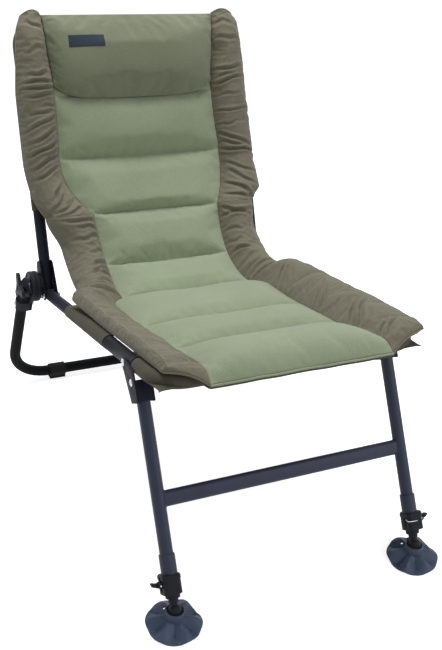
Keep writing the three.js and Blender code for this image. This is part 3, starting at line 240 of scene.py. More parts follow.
class Finish:  # a material under way, on the object's own coordinates
    def __init__(self, name, roughness, metallic=0):
        self.material = bpy.data.materials.new(name)
        self.material.use_nodes = True
        self.tree = self.material.node_tree
        self.shader = self.tree.nodes["Principled BSDF"]
        self.shader.inputs["Roughness"].default_value = roughness
        self.shader.inputs["Metallic"].default_value = metallic
        self.where = self.tree.nodes.new("ShaderNodeTexCoord").outputs["Object"]

    def link(self, a, b):
        self.tree.links.new(a, b)

    def noise(self, scale, detail=3, stretch=None, rough=0.5):
        node = self.tree.nodes.new("ShaderNodeTexNoise")
        node.inputs["Scale"].default_value = scale
        node.inputs["Detail"].default_value = detail
        node.inputs["Roughness"].default_value = rough
        where = self.where
        if stretch:
            mapping = self.tree.nodes.new("ShaderNodeMapping")
            mapping.inputs["Scale"].default_value = stretch
            self.link(self.where, mapping.inputs["Vector"])
            where = mapping.outputs["Vector"]
        self.link(where, node.inputs["Vector"])
        return node.outputs["Fac"]

    def wave(self, scale, direction, where=None):
        node = self.tree.nodes.new("ShaderNodeTexWave")
        node.bands_direction = direction
        node.inputs["Scale"].default_value = scale
        self.link(where or self.where, node.inputs["Vector"])
        return node.outputs["Fac"]

    def math(self, operation, a, b=None):
        node = self.tree.nodes.new("ShaderNodeMath")
        node.operation = operation
        for socket, value in zip(node.inputs, (a, b)):
            if value is None:
                continue
            if isinstance(value, (int, float)):
                socket.default_value = value
            else:
                self.link(value, socket)
        return node.outputs[0]

    def ramp(self, factor, stops):
        node = self.tree.nodes.new("ShaderNodeValToRGB")
        elements = node.color_ramp.elements
        while len(elements) < len(stops):
            elements.new(0.5)
        for element, (place, colour) in zip(elements, stops):
            element.position = place
            element.color = colour
        self.link(factor, node.inputs["Fac"])
        return node.outputs["Color"]

    def blend(self, factor, a, b):
        node = self.tree.nodes.new("ShaderNodeMix")
        node.data_type = "RGBA"
        if isinstance(factor, (int, float)):
            node.inputs["Factor"].default_value = factor
        else:
            self.link(factor, node.inputs["Factor"])
        for socket, value in ((node.inputs[6], a), (node.inputs[7], b)):
            if isinstance(value, tuple):
                socket.default_value = value
            else:
                self.link(value, socket)
        return node.outputs[2]

    def colour(self, value):
        self.link(value, self.shader.inputs["Base Color"])

    def roughness(self, factor, low, high):
        node = self.tree.nodes.new("ShaderNodeMapRange")
        node.inputs["To Min"].default_value = low
        node.inputs["To Max"].default_value = high
        self.link(factor, node.inputs["Value"])
        self.link(node.outputs[0], self.shader.inputs["Roughness"])

    def bump(self, height, distance, strength=1, under=None):
        node = self.tree.nodes.new("ShaderNodeBump")
        node.inputs["Distance"].default_value = distance
        node.inputs["Strength"].default_value = strength
        self.link(height, node.inputs["Height"])
        if under:
            self.link(under, node.inputs["Normal"])
        self.link(node.outputs["Normal"], self.shader.inputs["Normal"])
        return node.outputs["Normal"]


waveTurn = 6.283  # a full turn of the wave texture


def shade(code, share):  # a lighter or darker tone
    c = linear(code)
    return tuple(min(1, v * share) for v in c[:3]) + (1,)


def fleeceFinish(name, code):
    made = Finish(name, 0.95)
    clouds = made.noise(9, 3)
    pile = made.noise(420, 4, rough=0.7)
    nap = made.noise(60, 4, stretch=(1, 0.35, 0.35))
    tone = made.ramp(clouds, [(0.3, shade(code, 0.9)), (0.72, shade(code, 1.08))])
    speck = made.ramp(pile, [(0.3, shade(code, 0.72)), (0.62, shade(code, 1.22))])
    made.colour(made.blend(0.4, tone, speck))
    soft = made.bump(nap, 0.0012, 0.35)
    made.bump(pile, 0.0009, 0.7, soft)
    made.shader.inputs["Sheen Weight"].default_value = 0.35
    made.shader.inputs["Sheen Roughness"].default_value = 0.6
    made.shader.inputs["Specular IOR Level"].default_value = 0.15
    return made.material


def clothFinish(name, code, thread=900, sheen=0.15, rough=0.82, depth=0.00025):  # crossing threads, slubs
    made = Finish(name, rough)
    clouds = made.noise(14, 4)
    slubs = made.noise(240, 3, stretch=(1, 0.2, 1))
    tone = made.ramp(clouds, [(0.3, shade(code, 0.88)), (0.7, shade(code, 1.1))])
    fine = made.ramp(slubs, [(0.3, shade(code, 0.82)), (0.7, shade(code, 1.15))])
    made.colour(made.blend(0.35, tone, fine))
    warp = made.wave(thread / waveTurn, "X")
    weft = made.wave(thread / waveTurn, "Z")
    weave = made.math("MULTIPLY", made.math("ADD", warp, weft), 0.5)
    made.bump(weave, depth, 0.6, made.bump(slubs, 0.0003, 0.4))
    made.shader.inputs["Sheen Weight"].default_value = sheen
    made.shader.inputs["Specular IOR Level"].default_value = 0.25
    return made.material


def paintFinish(name, code, rough=0.42, gloss=0.24):  # powder coat with orange peel and faint rubbing
    made = Finish(name, rough)
    clouds = made.noise(22, 4)
    peel = made.noise(520, 2)
    rubs = made.noise(70, 5, stretch=(1, 0.3, 0.3), rough=0.75)
    tone = made.ramp(clouds, [(0.3, shade(code, 0.86)), (0.75, shade(code, 1.16))])
    scuff = made.ramp(rubs, [(0.6, shade(code, 1)), (0.8, shade(code, 1.5))])
    made.colour(made.blend(0.3, tone, scuff))
    made.roughness(rubs, rough - 0.07, rough + 0.14)
    made.bump(peel, 0.0002, 0.35)
    made.shader.inputs["Specular IOR Level"].default_value = gloss
    return made.material


def plasticFinish(name, code, rough=0.52, grain=700, gloss=0.3):
    made = Finish(name, rough)
    clouds = made.noise(30, 3)
    fine = made.noise(grain, 2)
    made.colour(made.ramp(clouds, [(0.3, shade(code, 0.84)), (0.75, shade(code, 1.2))]))
    made.roughness(clouds, rough - 0.06, rough + 0.1)
    made.bump(fine, 0.00025, 0.45)
    made.shader.inputs["Specular IOR Level"].default_value = gloss
    return made.material


def zincFinish():
    made = Finish("zinc", 0.28, 1)
    clouds = made.noise(180, 4)
    brushed = made.noise(700, 3, stretch=(1, 0.15, 0.15))
    made.colour(made.ramp(clouds, [(0.3, linear("#b4b7ba")), (0.75, linear("#e3e5e8"))]))
    made.roughness(brushed, 0.2, 0.42)
    made.bump(brushed, 0.00008, 0.4)
    return made.material


# Each finish, with the slot that it belongs to
looks = {
    "fleece": ("fleece", fleeceFinish("fleece", "#97a386")),
    # The pillow's fleece: a darker copy of the seat and back fleece. Part of the darkening is the pillow's
    # duller cloth, part is painted shade over its upward-facing top.
    "pillow": ("fleece", fleeceFinish("pillowFleecePaintedShade", "#7d846b")),
    "bolster": ("bolster_cloth", clothFinish("bolsterCloth", "#787463")),
    "sling": (
        "sling_cloth",
        clothFinish("slingCloth", "#555347", thread=620, sheen=0.05, rough=0.9, depth=0.0004),
    ),
    "thread": ("bolster_cloth", clothFinish("thread", "#4c4a3a", thread=2500)),
    "paleThread": ("bolster_cloth", clothFinish("paleThread", "#959280", thread=2500)),
    "tag": ("tag_cloth", clothFinish("tagCloth", "#2b3744", thread=2200, sheen=0.1, rough=0.7)),
    "legPaint": ("leg_paint", paintFinish("legPaint", "#353a4e")),
    "framePaint": ("frame_paint", paintFinish("framePaint", "#1e202d", rough=0.55, gloss=0.12)),
    "rearPaint": ("frame_paint", paintFinish("rearPaint", "#0e0f12", rough=0.6, gloss=0.08)),
    "zinc": ("zinc", zincFinish()),
    "blackPlastic": ("black_plastic", plasticFinish("blackPlastic", "#181b22", gloss=0.16)),
    "footPlastic": ("foot_plastic", plasticFinish("footPlastic", "#414e65", rough=0.48, grain=420)),
    "rubber": ("rubber", plasticFinish("rubber", "#141416", rough=0.85, grain=380)),
}
finishes = {name: finish for name, (slot, finish) in looks.items()}
bySlot = {slot: finish for slot, finish in reversed(looks.values())}  # the first of each slot
for part in frame["record"]["subparts"]:
    node = frame["nodes"][part["node"]]
    node.data.materials.clear()
    node.data.materials.append(bySlot[part["material_slot"]])
print("materials")


mat = {
    "seatEdge": -669,
    "thigh": -496,
    "seat": -344,
    "crease": -167,
    "waist": 169,
    "back": 297,
    "head": 436,
    "top": 608,
    "pillowFoot": 427,
    "valley": 10,
    "crown": 17,
    "hem": 5,
    "pillow": 30,
    "seatRollFront": 28,
    "seatRollRear": 44,
    "slackRoll": 21,
    "backRoll": 30,
    "lumbarRoll": 33,
    "droop": 20,
    "rearLift": 13,
    "lumbarFrom": 300,
    "lumbarLift": 44,
    "bridgePull": 78,
    "bridgeSpan": 200,
    "thinnest": 2,
}
sleeve = 14.6
ease = 0.3
sag = {"deep": 20, "fade": 110, "carried": 0.82, "in": 14}  # of the slings between their tubes


def curveThrough(pairs):  # smooth through (place, value) pairs, without overshoot
    at = np.array([p for p, _ in pairs], float)
    value = np.array([v for _, v in pairs], float)
    step = np.diff(at)
    slope = np.diff(value) / step
    lean = np.zeros(len(at))
    lean[0], lean[-1] = slope[0], slope[-1]
    for i in range(1, len(at) - 1):
        if slope[i - 1] * slope[i] > 0:
            a, b = 2 * step[i] + step[i - 1], step[i] + 2 * step[i - 1]
            lean[i] = (a + b) / (a / slope[i - 1] + b / slope[i])

    def read(place):
        place = np.clip(place, at[0], at[-1])
        i = np.clip(np.searchsorted(at, place) - 1, 0, len(step) - 1)
        t = (place - at[i]) / step[i]
        return (
            value[i] * (1 + 2 * t) * (1 - t) ** 2
            + lean[i] * step[i] * t * (1 - t) ** 2
            + value[i + 1] * t**2 * (3 - 2 * t)
            + lean[i + 1] * step[i] * t**2 * (t - 1)
        )

    return read


def smooth(x, low, high):
    t = np.clip((x - low) / (high - low), 0, 1)
    return t * t * (3 - 2 * t)


# Half-widths of the fleece and the bolsters along the mattress. The left and right outer edges differ.
seatHalf = curveThrough(
    [(-669, 188), (-590, 181), (-496, 178), (-300, 182), (-205, 184), (-184, 177), (-167, 155)]
)
backHalf = curveThrough(
    [(169, 154), (212, 181), (262, 196), (303, 198), (376, 194), (465, 193), (530, 199), (608, 205)]
)
seamShift = curveThrough([(169, 0), (262, -8), (608, -8)])
lumbarHalf = curveThrough([(0, 155), (0.5, 149), (1, 154)])
outerHalf = {
    -1: curveThrough(
        [(169, 262), (200, 275), (240, 282), (300, 286), (430, 285), (575, 272), (608, 260)]
    ),
    1: curveThrough(
        [(169, 246), (184, 262), (205, 280), (294, 280), (407, 278), (496, 272), (586, 266), (608, 254)]
    ),
}


def dip(x, fromCross):
    fade = np.clip((fromCross - chair["tube"]) / (sag["fade"] - chair["tube"]), 0, 1)
    return sag["deep"] * fade * np.maximum(0, 1 - (x / chair["halfFrame"]) ** 2)


def seatUnder(x, y):
    droopFrom = chair["seatDepth"] + sleeve / 2
    past = np.maximum(0, -y - droopFrom) / (-mat["seatEdge"] - droopFrom)
    lift = np.maximum(0, y - mat["seat"]) / (mat["crease"] - mat["seat"])
    hang = sag["carried"] * dip(x, y + chair["seatDepth"] - sag["in"])
    return sleeve + ease - mat["droop"] * past**2 + mat["rearLift"] * lift**2 - hang


def backUnder(x, z):
    lift = np.maximum(0, mat["lumbarFrom"] - z) / (mat["lumbarFrom"] - mat["waist"])
    hang = sag["carried"] * dip(x, chair["backLength"] - z - sag["in"])
    return chair["backSetback"] - sleeve - ease - mat["lumbarLift"] * lift**2 + hang


def placed(frameMatrix, x, y, z):  # local millimetres to the model's metres
    local = np.stack([x, y, z, np.ones_like(x)], -1)
    return (local @ np.array(frameMatrix).T)[..., :3]


def crownAt(seams, place, power=0.55):
    phase = np.interp(place, seams, np.arange(len(seams)))
    return np.sin(np.pi * (phase % 1)) ** power


def bridge(share, x, thick):  # the part of the mattress between seat and back, out from its underside
    crease, waist = float(mat["crease"]), float(mat["waist"])
    zero = np.zeros_like(x)
    start = placed(seatFrame, zero, np.full_like(x, crease), seatUnder(x, np.full_like(x, crease)))
    end = placed(backFrame, zero, backUnder(x, np.full_like(x, waist)), np.full_like(x, waist))
    seatTurn, backTurn = seatFrame.to_3x3(), backFrame.to_3x3()
    seatWay = np.array(seatTurn @ Vector((0, 1, 0))) * mat["bridgePull"]
    backWay = np.array(backTurn @ Vector((0, 0, 1))) * mat["bridgePull"]
    s = share[..., None]
    point = (
        start * (1 - s) ** 3
        + (start + seatWay) * 3 * s * (1 - s) ** 2
        + (end - backWay) * 3 * s**2 * (1 - s)
        + end * s**3
    )
    facing = np.array(seatTurn @ Vector((0, 0, 1))) * (1 - s) + np.array(backTurn @ Vector((0, -1, 0))) * s
    facing = facing / np.linalg.norm(facing, axis=-1, keepdims=True)
    point = point + facing * (thick * mm)[..., None]
    point[..., 0] = x * mm
    return point


# A closed skin between two sheets over one grid, as (across, along) arrays of points. The lower sheet
# takes the second material.
def skin(name, upper, lower, flip=False):
    rows, columns = upper.shape[:2]
    count = rows * columns
    at = np.arange(count).reshape(rows, columns)
    quads = np.stack([at[:-1, :-1], at[:-1, 1:], at[1:, 1:], at[1:, :-1]], -1).reshape(-1, 4)
    faces = [quads, quads[:, ::-1] + count]
    for line, turn in ((at[0], 1), (at[-1], -1), (at[:, 0], -1), (at[:, -1], 1)):
        wall = np.stack([line[:-1], line[:-1] + count, line[1:] + count, line[1:]], -1)
        faces.append(wall[:, ::turn])
    faces = np.concatenate(faces)
    if flip:
        faces = faces[:, ::-1]
    mesh = bpy.data.meshes.new(name)
    points = np.concatenate([upper.reshape(-1, 3), lower.reshape(-1, 3)])
    mesh.from_pydata(points.tolist(), [], faces.tolist())
    lowerFace = np.zeros(len(faces), np.int32)
    lowerFace[len(quads) :] = 1
    mesh.polygons.foreach_set("material_index", lowerFace)
    mesh.update()
    ends = set(at[0].tolist() + at[-1].tolist())
    ends |= {i + count for i in ends}
    crease = mesh.attributes.new("crease_edge", "FLOAT", "EDGE")
    pairs = np.empty(len(mesh.edges) * 2, np.int32)
    mesh.edges.foreach_get("vertices", pairs)
    held = [1.0 if a in ends and b in ends else 0.0 for a, b in pairs.reshape(-1, 2).tolist()]
    crease.data.foreach_set("value", held)
    piece = bpy.data.objects.new(name, mesh)
    bpy.context.collection.objects.link(piece)
    return piece


def spread(low, high, steps, crowd=0.35):  # evenly spaced, drawn towards both ends
    t = np.linspace(0, 1, steps + 1)
    eased = 0.5 - 0.5 * np.cos(np.pi * t)
    return low + (high - low) * ((1 - crowd) * t + crowd * eased)


def alongSeams(seams, steps):  # rows crowd towards each seam
    rows = [spread(a, b, steps, 0.82)[:-1] for a, b in zip(seams[:-1], seams[1:])]
    return np.concatenate(rows + [[seams[-1]]])


def wrinkle(points, seed, scale, stretch=(1, 1, 1)):  # smooth noise from -1 to 1 at each point
    shift = Vector((seed * 7.3, seed * 3.1, seed * 5.7))
    flat = points.reshape(-1, 3) * stretch
    made = [noise.noise(Vector(p) * scale + shift) for p in flat]
    return np.array(made).reshape(points.shape[:-1])


def rumple(lower, seed, stretch, share=0.45):  # slack cloth, with its creases mostly across the bolster
    broad = wrinkle(lower / mm, seed, 0.018)
    fine = wrinkle(lower / mm, seed + 5, 0.03, stretch)
    return share * (1.5 * broad + 1.5 * (0.5 - np.abs(fine)) * 2)


foldDepth = 1.9


# Folds pressed into a surface whose grid runs over (w, s): each is a line from (w0, s0) to (w1, s1) with a
# depth and a half-width in the units of s, sharp in the valley with a soft ridge beside it.
def foldField(w, s, folds, span):
    field = np.zeros(np.broadcast(w, s).shape)
    for w0, s0, w1, s1, depth, half in folds:
        a = np.array([w0 * span, s0])
        way = np.array([w1 * span, s1]) - a
        length = np.linalg.norm(way)
        way = way / length
        px, py = w * span - a[0], s - a[1]
        t = px * way[0] + py * way[1]
        off = -px * way[1] + py * way[0]
        off = off + half * 0.5 * np.sin(2.2 * np.pi * t / length + s0)
        reach = smooth(t, -0.12 * length, 0.2 * length) * (1 - smooth(t, 0.6 * length, 1.1 * length))
        valley = -np.exp(-np.abs(off / half) ** 1.3)
        ridges = [
            tall * np.exp(-(((off + beyond * half) / (1.1 * half)) ** 2))
            for tall, beyond in ((0.55, -1.9), (0.4, 1.9))
        ]
        field += foldDepth * depth * reach * (valley + sum(ridges))
    return field


def chosen(piece):
    bpy.ops.object.select_all(action="DESELECT")
    bpy.context.view_layer.objects.active = piece
    piece.select_set(True)
    return piece


def shape(piece, kind, **values):  # adds a modifier and applies it
    chosen(piece)
    modifier = piece.modifiers.new(kind.lower(), kind)
    for key, value in values.items():
        setattr(modifier, key, value)
    bpy.ops.object.modifier_apply(modifier=modifier.name)
    return piece


def openEdit(piece):
    chosen(piece)
    bpy.ops.object.mode_set(mode="EDIT")
    bpy.ops.mesh.select_all(action="SELECT")


def closeEdit(near=None):  # doubled points merged, faces turned outwards
    bpy.ops.mesh.select_all(action="SELECT")
    if near:
        bpy.ops.mesh.remove_doubles(threshold=near)
    bpy.ops.mesh.normals_make_consistent(inside=False)
    bpy.ops.object.mode_set(mode="OBJECT")


# Blows a stuffed piece up a little: its seams and underside stay where they are.
def fill(piece, held, pressure, growth, most, frames=16):
    start = np.empty(len(piece.data.vertices) * 3)
    piece.data.vertices.foreach_get("co", start)
    group = piece.vertex_groups.new(name="sewn")
    for weight in np.unique(held):
        if weight > 0:
            group.add(np.flatnonzero(held == weight).tolist(), float(weight), "REPLACE")
    cloth = piece.modifiers.new("filling", "CLOTH")
    cloth.settings.use_pressure = True
    cloth.settings.uniform_pressure_force = pressure
    cloth.settings.vertex_group_mass = "sewn"
    cloth.settings.shrink_min = -growth
    cloth.settings.bending_stiffness = 0.35
    cloth.settings.effector_weights.gravity = 0
    cloth.settings.quality = 4
    cloth.collision_settings.use_collision = False
    cloth.point_cache.frame_start = 1
    cloth.point_cache.frame_end = frames
    scene = bpy.context.scene
    for step in range(1, frames + 1):
        scene.frame_set(step)
    chosen(piece)
    bpy.ops.object.modifier_apply(modifier="filling")
    scene.frame_set(1)
    end = np.empty_like(start)
    piece.data.vertices.foreach_get("co", end)
    start, end = start.reshape(-1, 3), end.reshape(-1, 3)
    move = np.nan_to_num(end - start)
    far = np.linalg.norm(move, axis=1, keepdims=True)
    move *= np.minimum(1, most / np.maximum(far, 1e-9))
    piece.data.vertices.foreach_set("co", (start + move).ravel())
    piece.data.update()
    piece.vertex_groups.clear()


def finishSoft(piece, finish, under, slotName, body, fillShare, *nodes):
    piece.data.materials.append(finishes[finish])
    piece.data.materials.append(finishes[under])
    shape(piece, "SUBSURF", levels=1, render_levels=1)
    for face in piece.data.polygons:
        face.use_smooth = True
    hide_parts(*nodes)
    if body:
        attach(piece, body)
    return piece


def heldMask(upper, seamRows):  # the lower sheet and the edges are sewn down, the seams nearly so
    rows, columns = upper.shape[:2]
    top = np.zeros((rows, columns))
    top[[0, -1], :] = 1
    top[:, [0, -1]] = 1
    top[seamRows, :] = 1
    return np.concatenate([top.ravel(), np.ones(rows * columns)])


pads = {
    "columns": 72,
    "channelRows": 24,
    "edgePower": 5,
    "edge": 4,
    "pucker": 1.3,
    "puckerReach": 11,
    "tuck": 9,
    "tuckWide": 4,
    "closing": 14,
    "fill": 0.7,
}


def toSeam(place, seams):
    return np.min([np.abs(place - seam) for seam in seams], axis=0)


def seamPucker(points, place, seams, seed):  # little gathers that run into each seam
    fade = np.exp(-toSeam(place, seams) / pads["puckerReach"])
    return pads["pucker"] * fade * wrinkle(points / mm, seed, 0.055, (1, 0.25, 0.25))


def tuck(place, seams):  # stitching pulls each seam down between its channels
    return pads["tuck"] * np.exp(-((toSeam(place, seams) / pads["tuckWide"]) ** 2))


def padSheets(seams, half, pointAt, crown, seed, thin=None, shift=None):
    along = alongSeams(seams, pads["channelRows"])
    u, place = np.meshgrid(spread(-1, 1, pads["columns"]), along)
    x = u * half(place)
    if shift is not None:
        x = x + shift(place)
    full = 1 - np.abs(u) ** pads["edgePower"]
    thick = pads["edge"] + (mat["valley"] - pads["edge"] + crown * crownAt(seams, place)) * full
    if thin is not None:
        thick = thin(place, thick)
    sewn = [seam for seam in seams if seam not in (mat["seatEdge"], mat["top"])]
    thick = thick - tuck(place, sewn) * full
    lower = pointAt(x, place, np.zeros_like(x))
    thick = thick + seamPucker(lower, place, seams[1:-1], seed) * full
    upper = pointAt(x, place, thick)
    seamRows = [int(i) * pads["channelRows"] for i in range(1, len(seams) - 1)]
    return upper, lower, seamRows


def addSeatPad():
    seams = [mat["seatEdge"], mat["thigh"], mat["seat"], mat["crease"]]

    def pointAt(x, y, thick):
        return placed(seatFrame, x, y, seatUnder(x, y) + thick)

    def thin(y, thick):  # the front edge closes to a thin seam
        close = np.clip((y - mat["seatEdge"]) / pads["closing"], 0, 1)
        return mat["hem"] + (thick - mat["hem"]) * np.sqrt(1 - (1 - close) ** 2)

    upper, lower, seamRows = padSheets(seams, seatHalf, pointAt, mat["crown"], 1, thin)
    piece = skin("seatPad", upper, lower)
    fill(piece, heldMask(upper, seamRows), 3, 0.01, 0.006)
    finishSoft(piece, "fleece", "bolster", "fleece", "seat", pads["fill"], "seat_pad")


def addBackPad():
    seams = [mat["waist"], mat["back"], mat["head"], mat["top"]]

    def pointAt(x, z, thick):
        return placed(backFrame, x, backUnder(x, z) - thick, z)

    def thin(z, thick):  # flat under the headrest
        return np.where(z > mat["head"], np.minimum(mat["valley"], thick), thick)

    upper, lower, seamRows = padSheets(seams, backHalf, pointAt, mat["crown"], 2, thin, seamShift)
    piece = skin("backPad", upper, lower)
    fill(piece, heldMask(upper, seamRows), 3, 0.01, 0.006)
    finishSoft(piece, "fleece", "bolster", "fleece", "back", pads["fill"], "back_pad")


def addLumbarPad():
    seams = [0, 0.5, 1]
    span = mat["bridgeSpan"]
    along = alongSeams(seams, pads["channelRows"])
    u, share = np.meshgrid(np.linspace(-1, 1, pads["columns"] + 1), along)
    x = u * lumbarHalf(share)
    full = 1 - np.abs(u) ** pads["edgePower"]
    lower = bridge(share, x, np.zeros_like(x))
    thick = pads["edge"] + (mat["valley"] - pads["edge"] + mat["crown"] * crownAt(seams, share)) * full
    places = [seam * span for seam in seams]
    thick += seamPucker(lower, share * span, places, 3) * full
    thick -= tuck(share * span, places) * full
    upper = bridge(share, x, thick)
    piece = skin("lumbarPad", upper, lower)
    fill(piece, heldMask(upper, [pads["channelRows"]]), 3, 0.01, 0.005)
    finishSoft(piece, "fleece", "bolster", "fleece", None, pads["fill"], "lumbar_pad")
    acrossJoint(piece)


# The bridging pieces, which curve from the seat to the back, have their transform baked into their meshes.
def acrossJoint(piece):
    start = placed(seatFrame, np.array(0.0), np.array(-150.0), np.array(30.0))
    end = placed(backFrame, np.array(0.0), np.array(-30.0), np.array(150.0))
    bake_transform(piece)


pillowRise = curveThrough(
    [(0, 0), (0.03, 0.34), (0.09, 0.66), (0.2, 0.92), (0.36, 1), (0.6, 0.9), (0.8, 0.7), (0.93, 0.45), (1, 0)]
)
pillow = {"rows": 44, "columns": 84, "earLift": 30, "gap": 0.8}


def addPillow():
    rows, columns = spread(0, 1, pillow["rows"], 0.6), spread(-1, 1, pillow["columns"], 0.5)
    share, u = np.meshgrid(rows, columns, indexing="ij")
    foot = mat["pillowFoot"] + pillow["earLift"] * np.abs(u) ** 6
    z = foot + (mat["top"] - foot) * share
    x = u * backHalf(z) + seamShift(z)
    full = 1 - np.abs(u) ** pads["edgePower"]
    base = pads["edge"] + (mat["valley"] - pads["edge"]) * full + pillow["gap"]
    lower = placed(backFrame, x, backUnder(x, z) - base, z)
    roundness = (np.maximum(0, 1 - np.abs(u) ** 7)) ** 0.8 * pillowRise(share)
    bulge = mat["hem"] + mat["pillow"] * roundness
    drift = wrinkle(lower / mm, 4, 0.012, (1, 0.5, 1)) * 1.2 * np.minimum(1, roundness * 2)
    upper = placed(backFrame, x, backUnder(x, z) - base - bulge - drift, z)
    piece = skin("headrestPillow", upper, lower)
    fill(piece, heldMask(upper, []), 3.5, 0.015, 0.007)
    finishSoft(piece, "pillow", "bolster", "fleece", "back", 0.8, "headrest_pillow")


# Heights of the bolsters from the inner seam (0) to the outer edge (1)
seatRollLeft = curveThrough(
    [(0, 0), (0.1, 0.14), (0.3, 0.4), (0.5, 0.64), (0.75, 0.93), (0.87, 1), (0.94, 0.86), (1, 0.2)]
)
seatRoll = curveThrough(
    [(0, 0), (0.1, 0.34), (0.26, 0.68), (0.44, 0.92), (0.62, 1), (0.78, 0.93), (0.9, 0.7), (0.97, 0.4),
     (1, 0)]
)
backRoll = curveThrough(
    [(0, 0), (0.1, 0.5), (0.24, 0.84), (0.4, 1), (0.56, 0.96), (0.72, 0.76), (0.84, 0.5), (0.93, 0.28),
     (1, 0)]
)
bolsters = {
    "across": 44,
    "along": 190,
    "lumbarAlong": 70,
    "crowd": 0.8,
    "seatSetback": 4,
    "tuckIn": 0.4,
    "seatOuter": {-1: 259, 1: 285},
    "lumbarOuter": 239,
    "lip": 13,
    "ear": 12,
    "rumple": {-1: 0.15, 1: 0.35},
    "seatSpan": 100,
    "backSpan": 90,
    "fill": 0.8,
    "pressedAt": (230, -200, 10),
    "pressed": 0.6,
    "seam": 0.865,
}
# Each fold: from (w, place) to (w, place), its depth and its half-width; w runs from the inner seam
# (0) to the outer edge (1), place along the back or seat frame, or from 0 to 200 over the bridge.
leftBack = [
    (0.2, 482, 0.8, 476, 3.2, 3.2), (0.1, 466, 0.92, 462, 4.6, 3), (0.1, 451, 0.95, 449, 4.2, 3),
    (0.15, 437, 0.88, 430, 3.6, 3), (0.2, 402, 0.83, 391, 2.2, 3), (0.1, 390, 0.94, 357, 3.4, 3.2),
    (0.1, 362, 0.9, 328, 3.8, 3.4), (0.1, 333, 0.94, 301, 4, 3.4), (0.1, 304, 0.92, 274, 4, 3.4),
    (0.1, 280, 0.9, 251, 3.2, 3.2), (0.12, 246, 0.7, 199, 4.2, 4), (0.12, 231, 0.95, 171, 4.6, 4),
    (0.08, 206, 0.95, 169, 4.4, 3.6), (0.1, 186, 0.9, 168, 3.8, 3.2), (0.2, 530, 0.8, 520, 1.6, 4),
    (0.15, 570, 0.75, 582, 2, 4), (0.05, 415, 0.5, 410, 1.6, 3), (0.05, 318, 0.5, 300, 2, 3),
    (0.1, 219, 0.6, 184, 3, 3),
]
rightBack = [
    (0.05, 476, 0.8, 483, 3.4, 3.2), (0.05, 447, 0.8, 463, 4.2, 3.2), (0.1, 461, 0.6, 470, 2.4, 2.6),
    (0.02, 382, 0.85, 388, 2.6, 2.8), (0.1, 418, 0.7, 424, 1.4, 3), (0.02, 333, 0.8, 297, 3.6, 3),
    (0.02, 296, 0.95, 284, 5, 3.4), (0.05, 312, 0.5, 300, 2.8, 2.6), (0.05, 262, 0.8, 232, 2.4, 3.4),
    (0.1, 243, 0.75, 203, 3.6, 3.4), (0.06, 216, 0.9, 172, 4.6, 3.4), (0.06, 190, 0.95, 170, 4.4, 3.2),
    (0.1, 545, 0.8, 540, 1.5, 4), (0.1, 580, 0.7, 572, 2, 4), (0.05, 350, 0.5, 356, 1.4, 3),
]
leftLumbar = [
    (0.05, 186, 0.9, 192, 3.4, 4), (0.05, 172, 0.6, 176, 2.4, 3.4), (0.02, 154, 0.72, 146, 2.8, 4),
    (0.02, 122, 0.5, 112, 1.6, 4), (0.02, 101, 0.57, 72, 3.2, 4), (0.02, 84, 0.6, 60, 3, 3.6),
    (0.02, 70, 0.75, 47, 3.4, 4), (0.02, 40, 0.7, 22, 2.4, 4), (0.05, 18, 0.8, 6, 2, 4),
]
rightLumbar = [
    (0.06, 188, 0.75, 166, 4, 3.6), (0.05, 172, 0.95, 184, 3, 3.4), (0.05, 140, 0.5, 132, 1.8, 3.6),
    (0.08, 90, 0.5, 80, 4, 3.2), (0.05, 112, 0.4, 106, 1.6, 3.4), (0.02, 22, 0.6, 40, 3.4, 4.4),
    (0.02, 8, 0.9, 24, 4, 4.4), (0.02, 50, 0.55, 58, 2, 4),
]
rightSeat = [
    (0.08, -261, 0.6, -190, 3.6, 4.4), (0.05, -236, 0.6, -176, 4, 4.2), (0.05, -284, 0.5, -222, 2.4, 4),
    (0.06, -405, 0.55, -349, 3.2, 4.2), (0.06, -421, 0.6, -362, 2.8, 3.8), (0.04, -345, 0.4, -318, 1.8, 4),
    (0.02, -538, 0.45, -494, 3.4, 4), (0.02, -565, 0.6, -512, 3.8, 4), (0.02, -592, 0.5, -550, 2.4, 4),
    (0.02, -632, 0.4, -612, 2.8, 3.6), (0.03, -646, 0.55, -626, 3.2, 3.6), (0.05, -470, 0.4, -448, 1.6, 4),
]
leftSeat = [
    (0.05, -205, 0.6, -182, 2.6, 5), (0.05, -262, 0.5, -240, 1.6, 5), (0.05, -372, 0.5, -350, 1.6, 5),
    (0.05, -470, 0.5, -450, 1.4, 5), (0.05, -560, 0.5, -545, 1.8, 5), (0.05, -622, 0.5, -606, 2, 4),
]


def bolsterGrid(low, high, count):
    return np.meshgrid(spread(0, 1, bolsters["across"], bolsters["crowd"]), np.linspace(low, high, count))


def finishBolster(piece, upper, sideName, body, label, most=0.006):
    fill(piece, heldMask(upper, []), 3, 0.03, most)
    node = label + "_bolster_" + sideName
    finishSoft(piece, "bolster", "bolster", "bolster_cloth", body, bolsters["fill"], node)


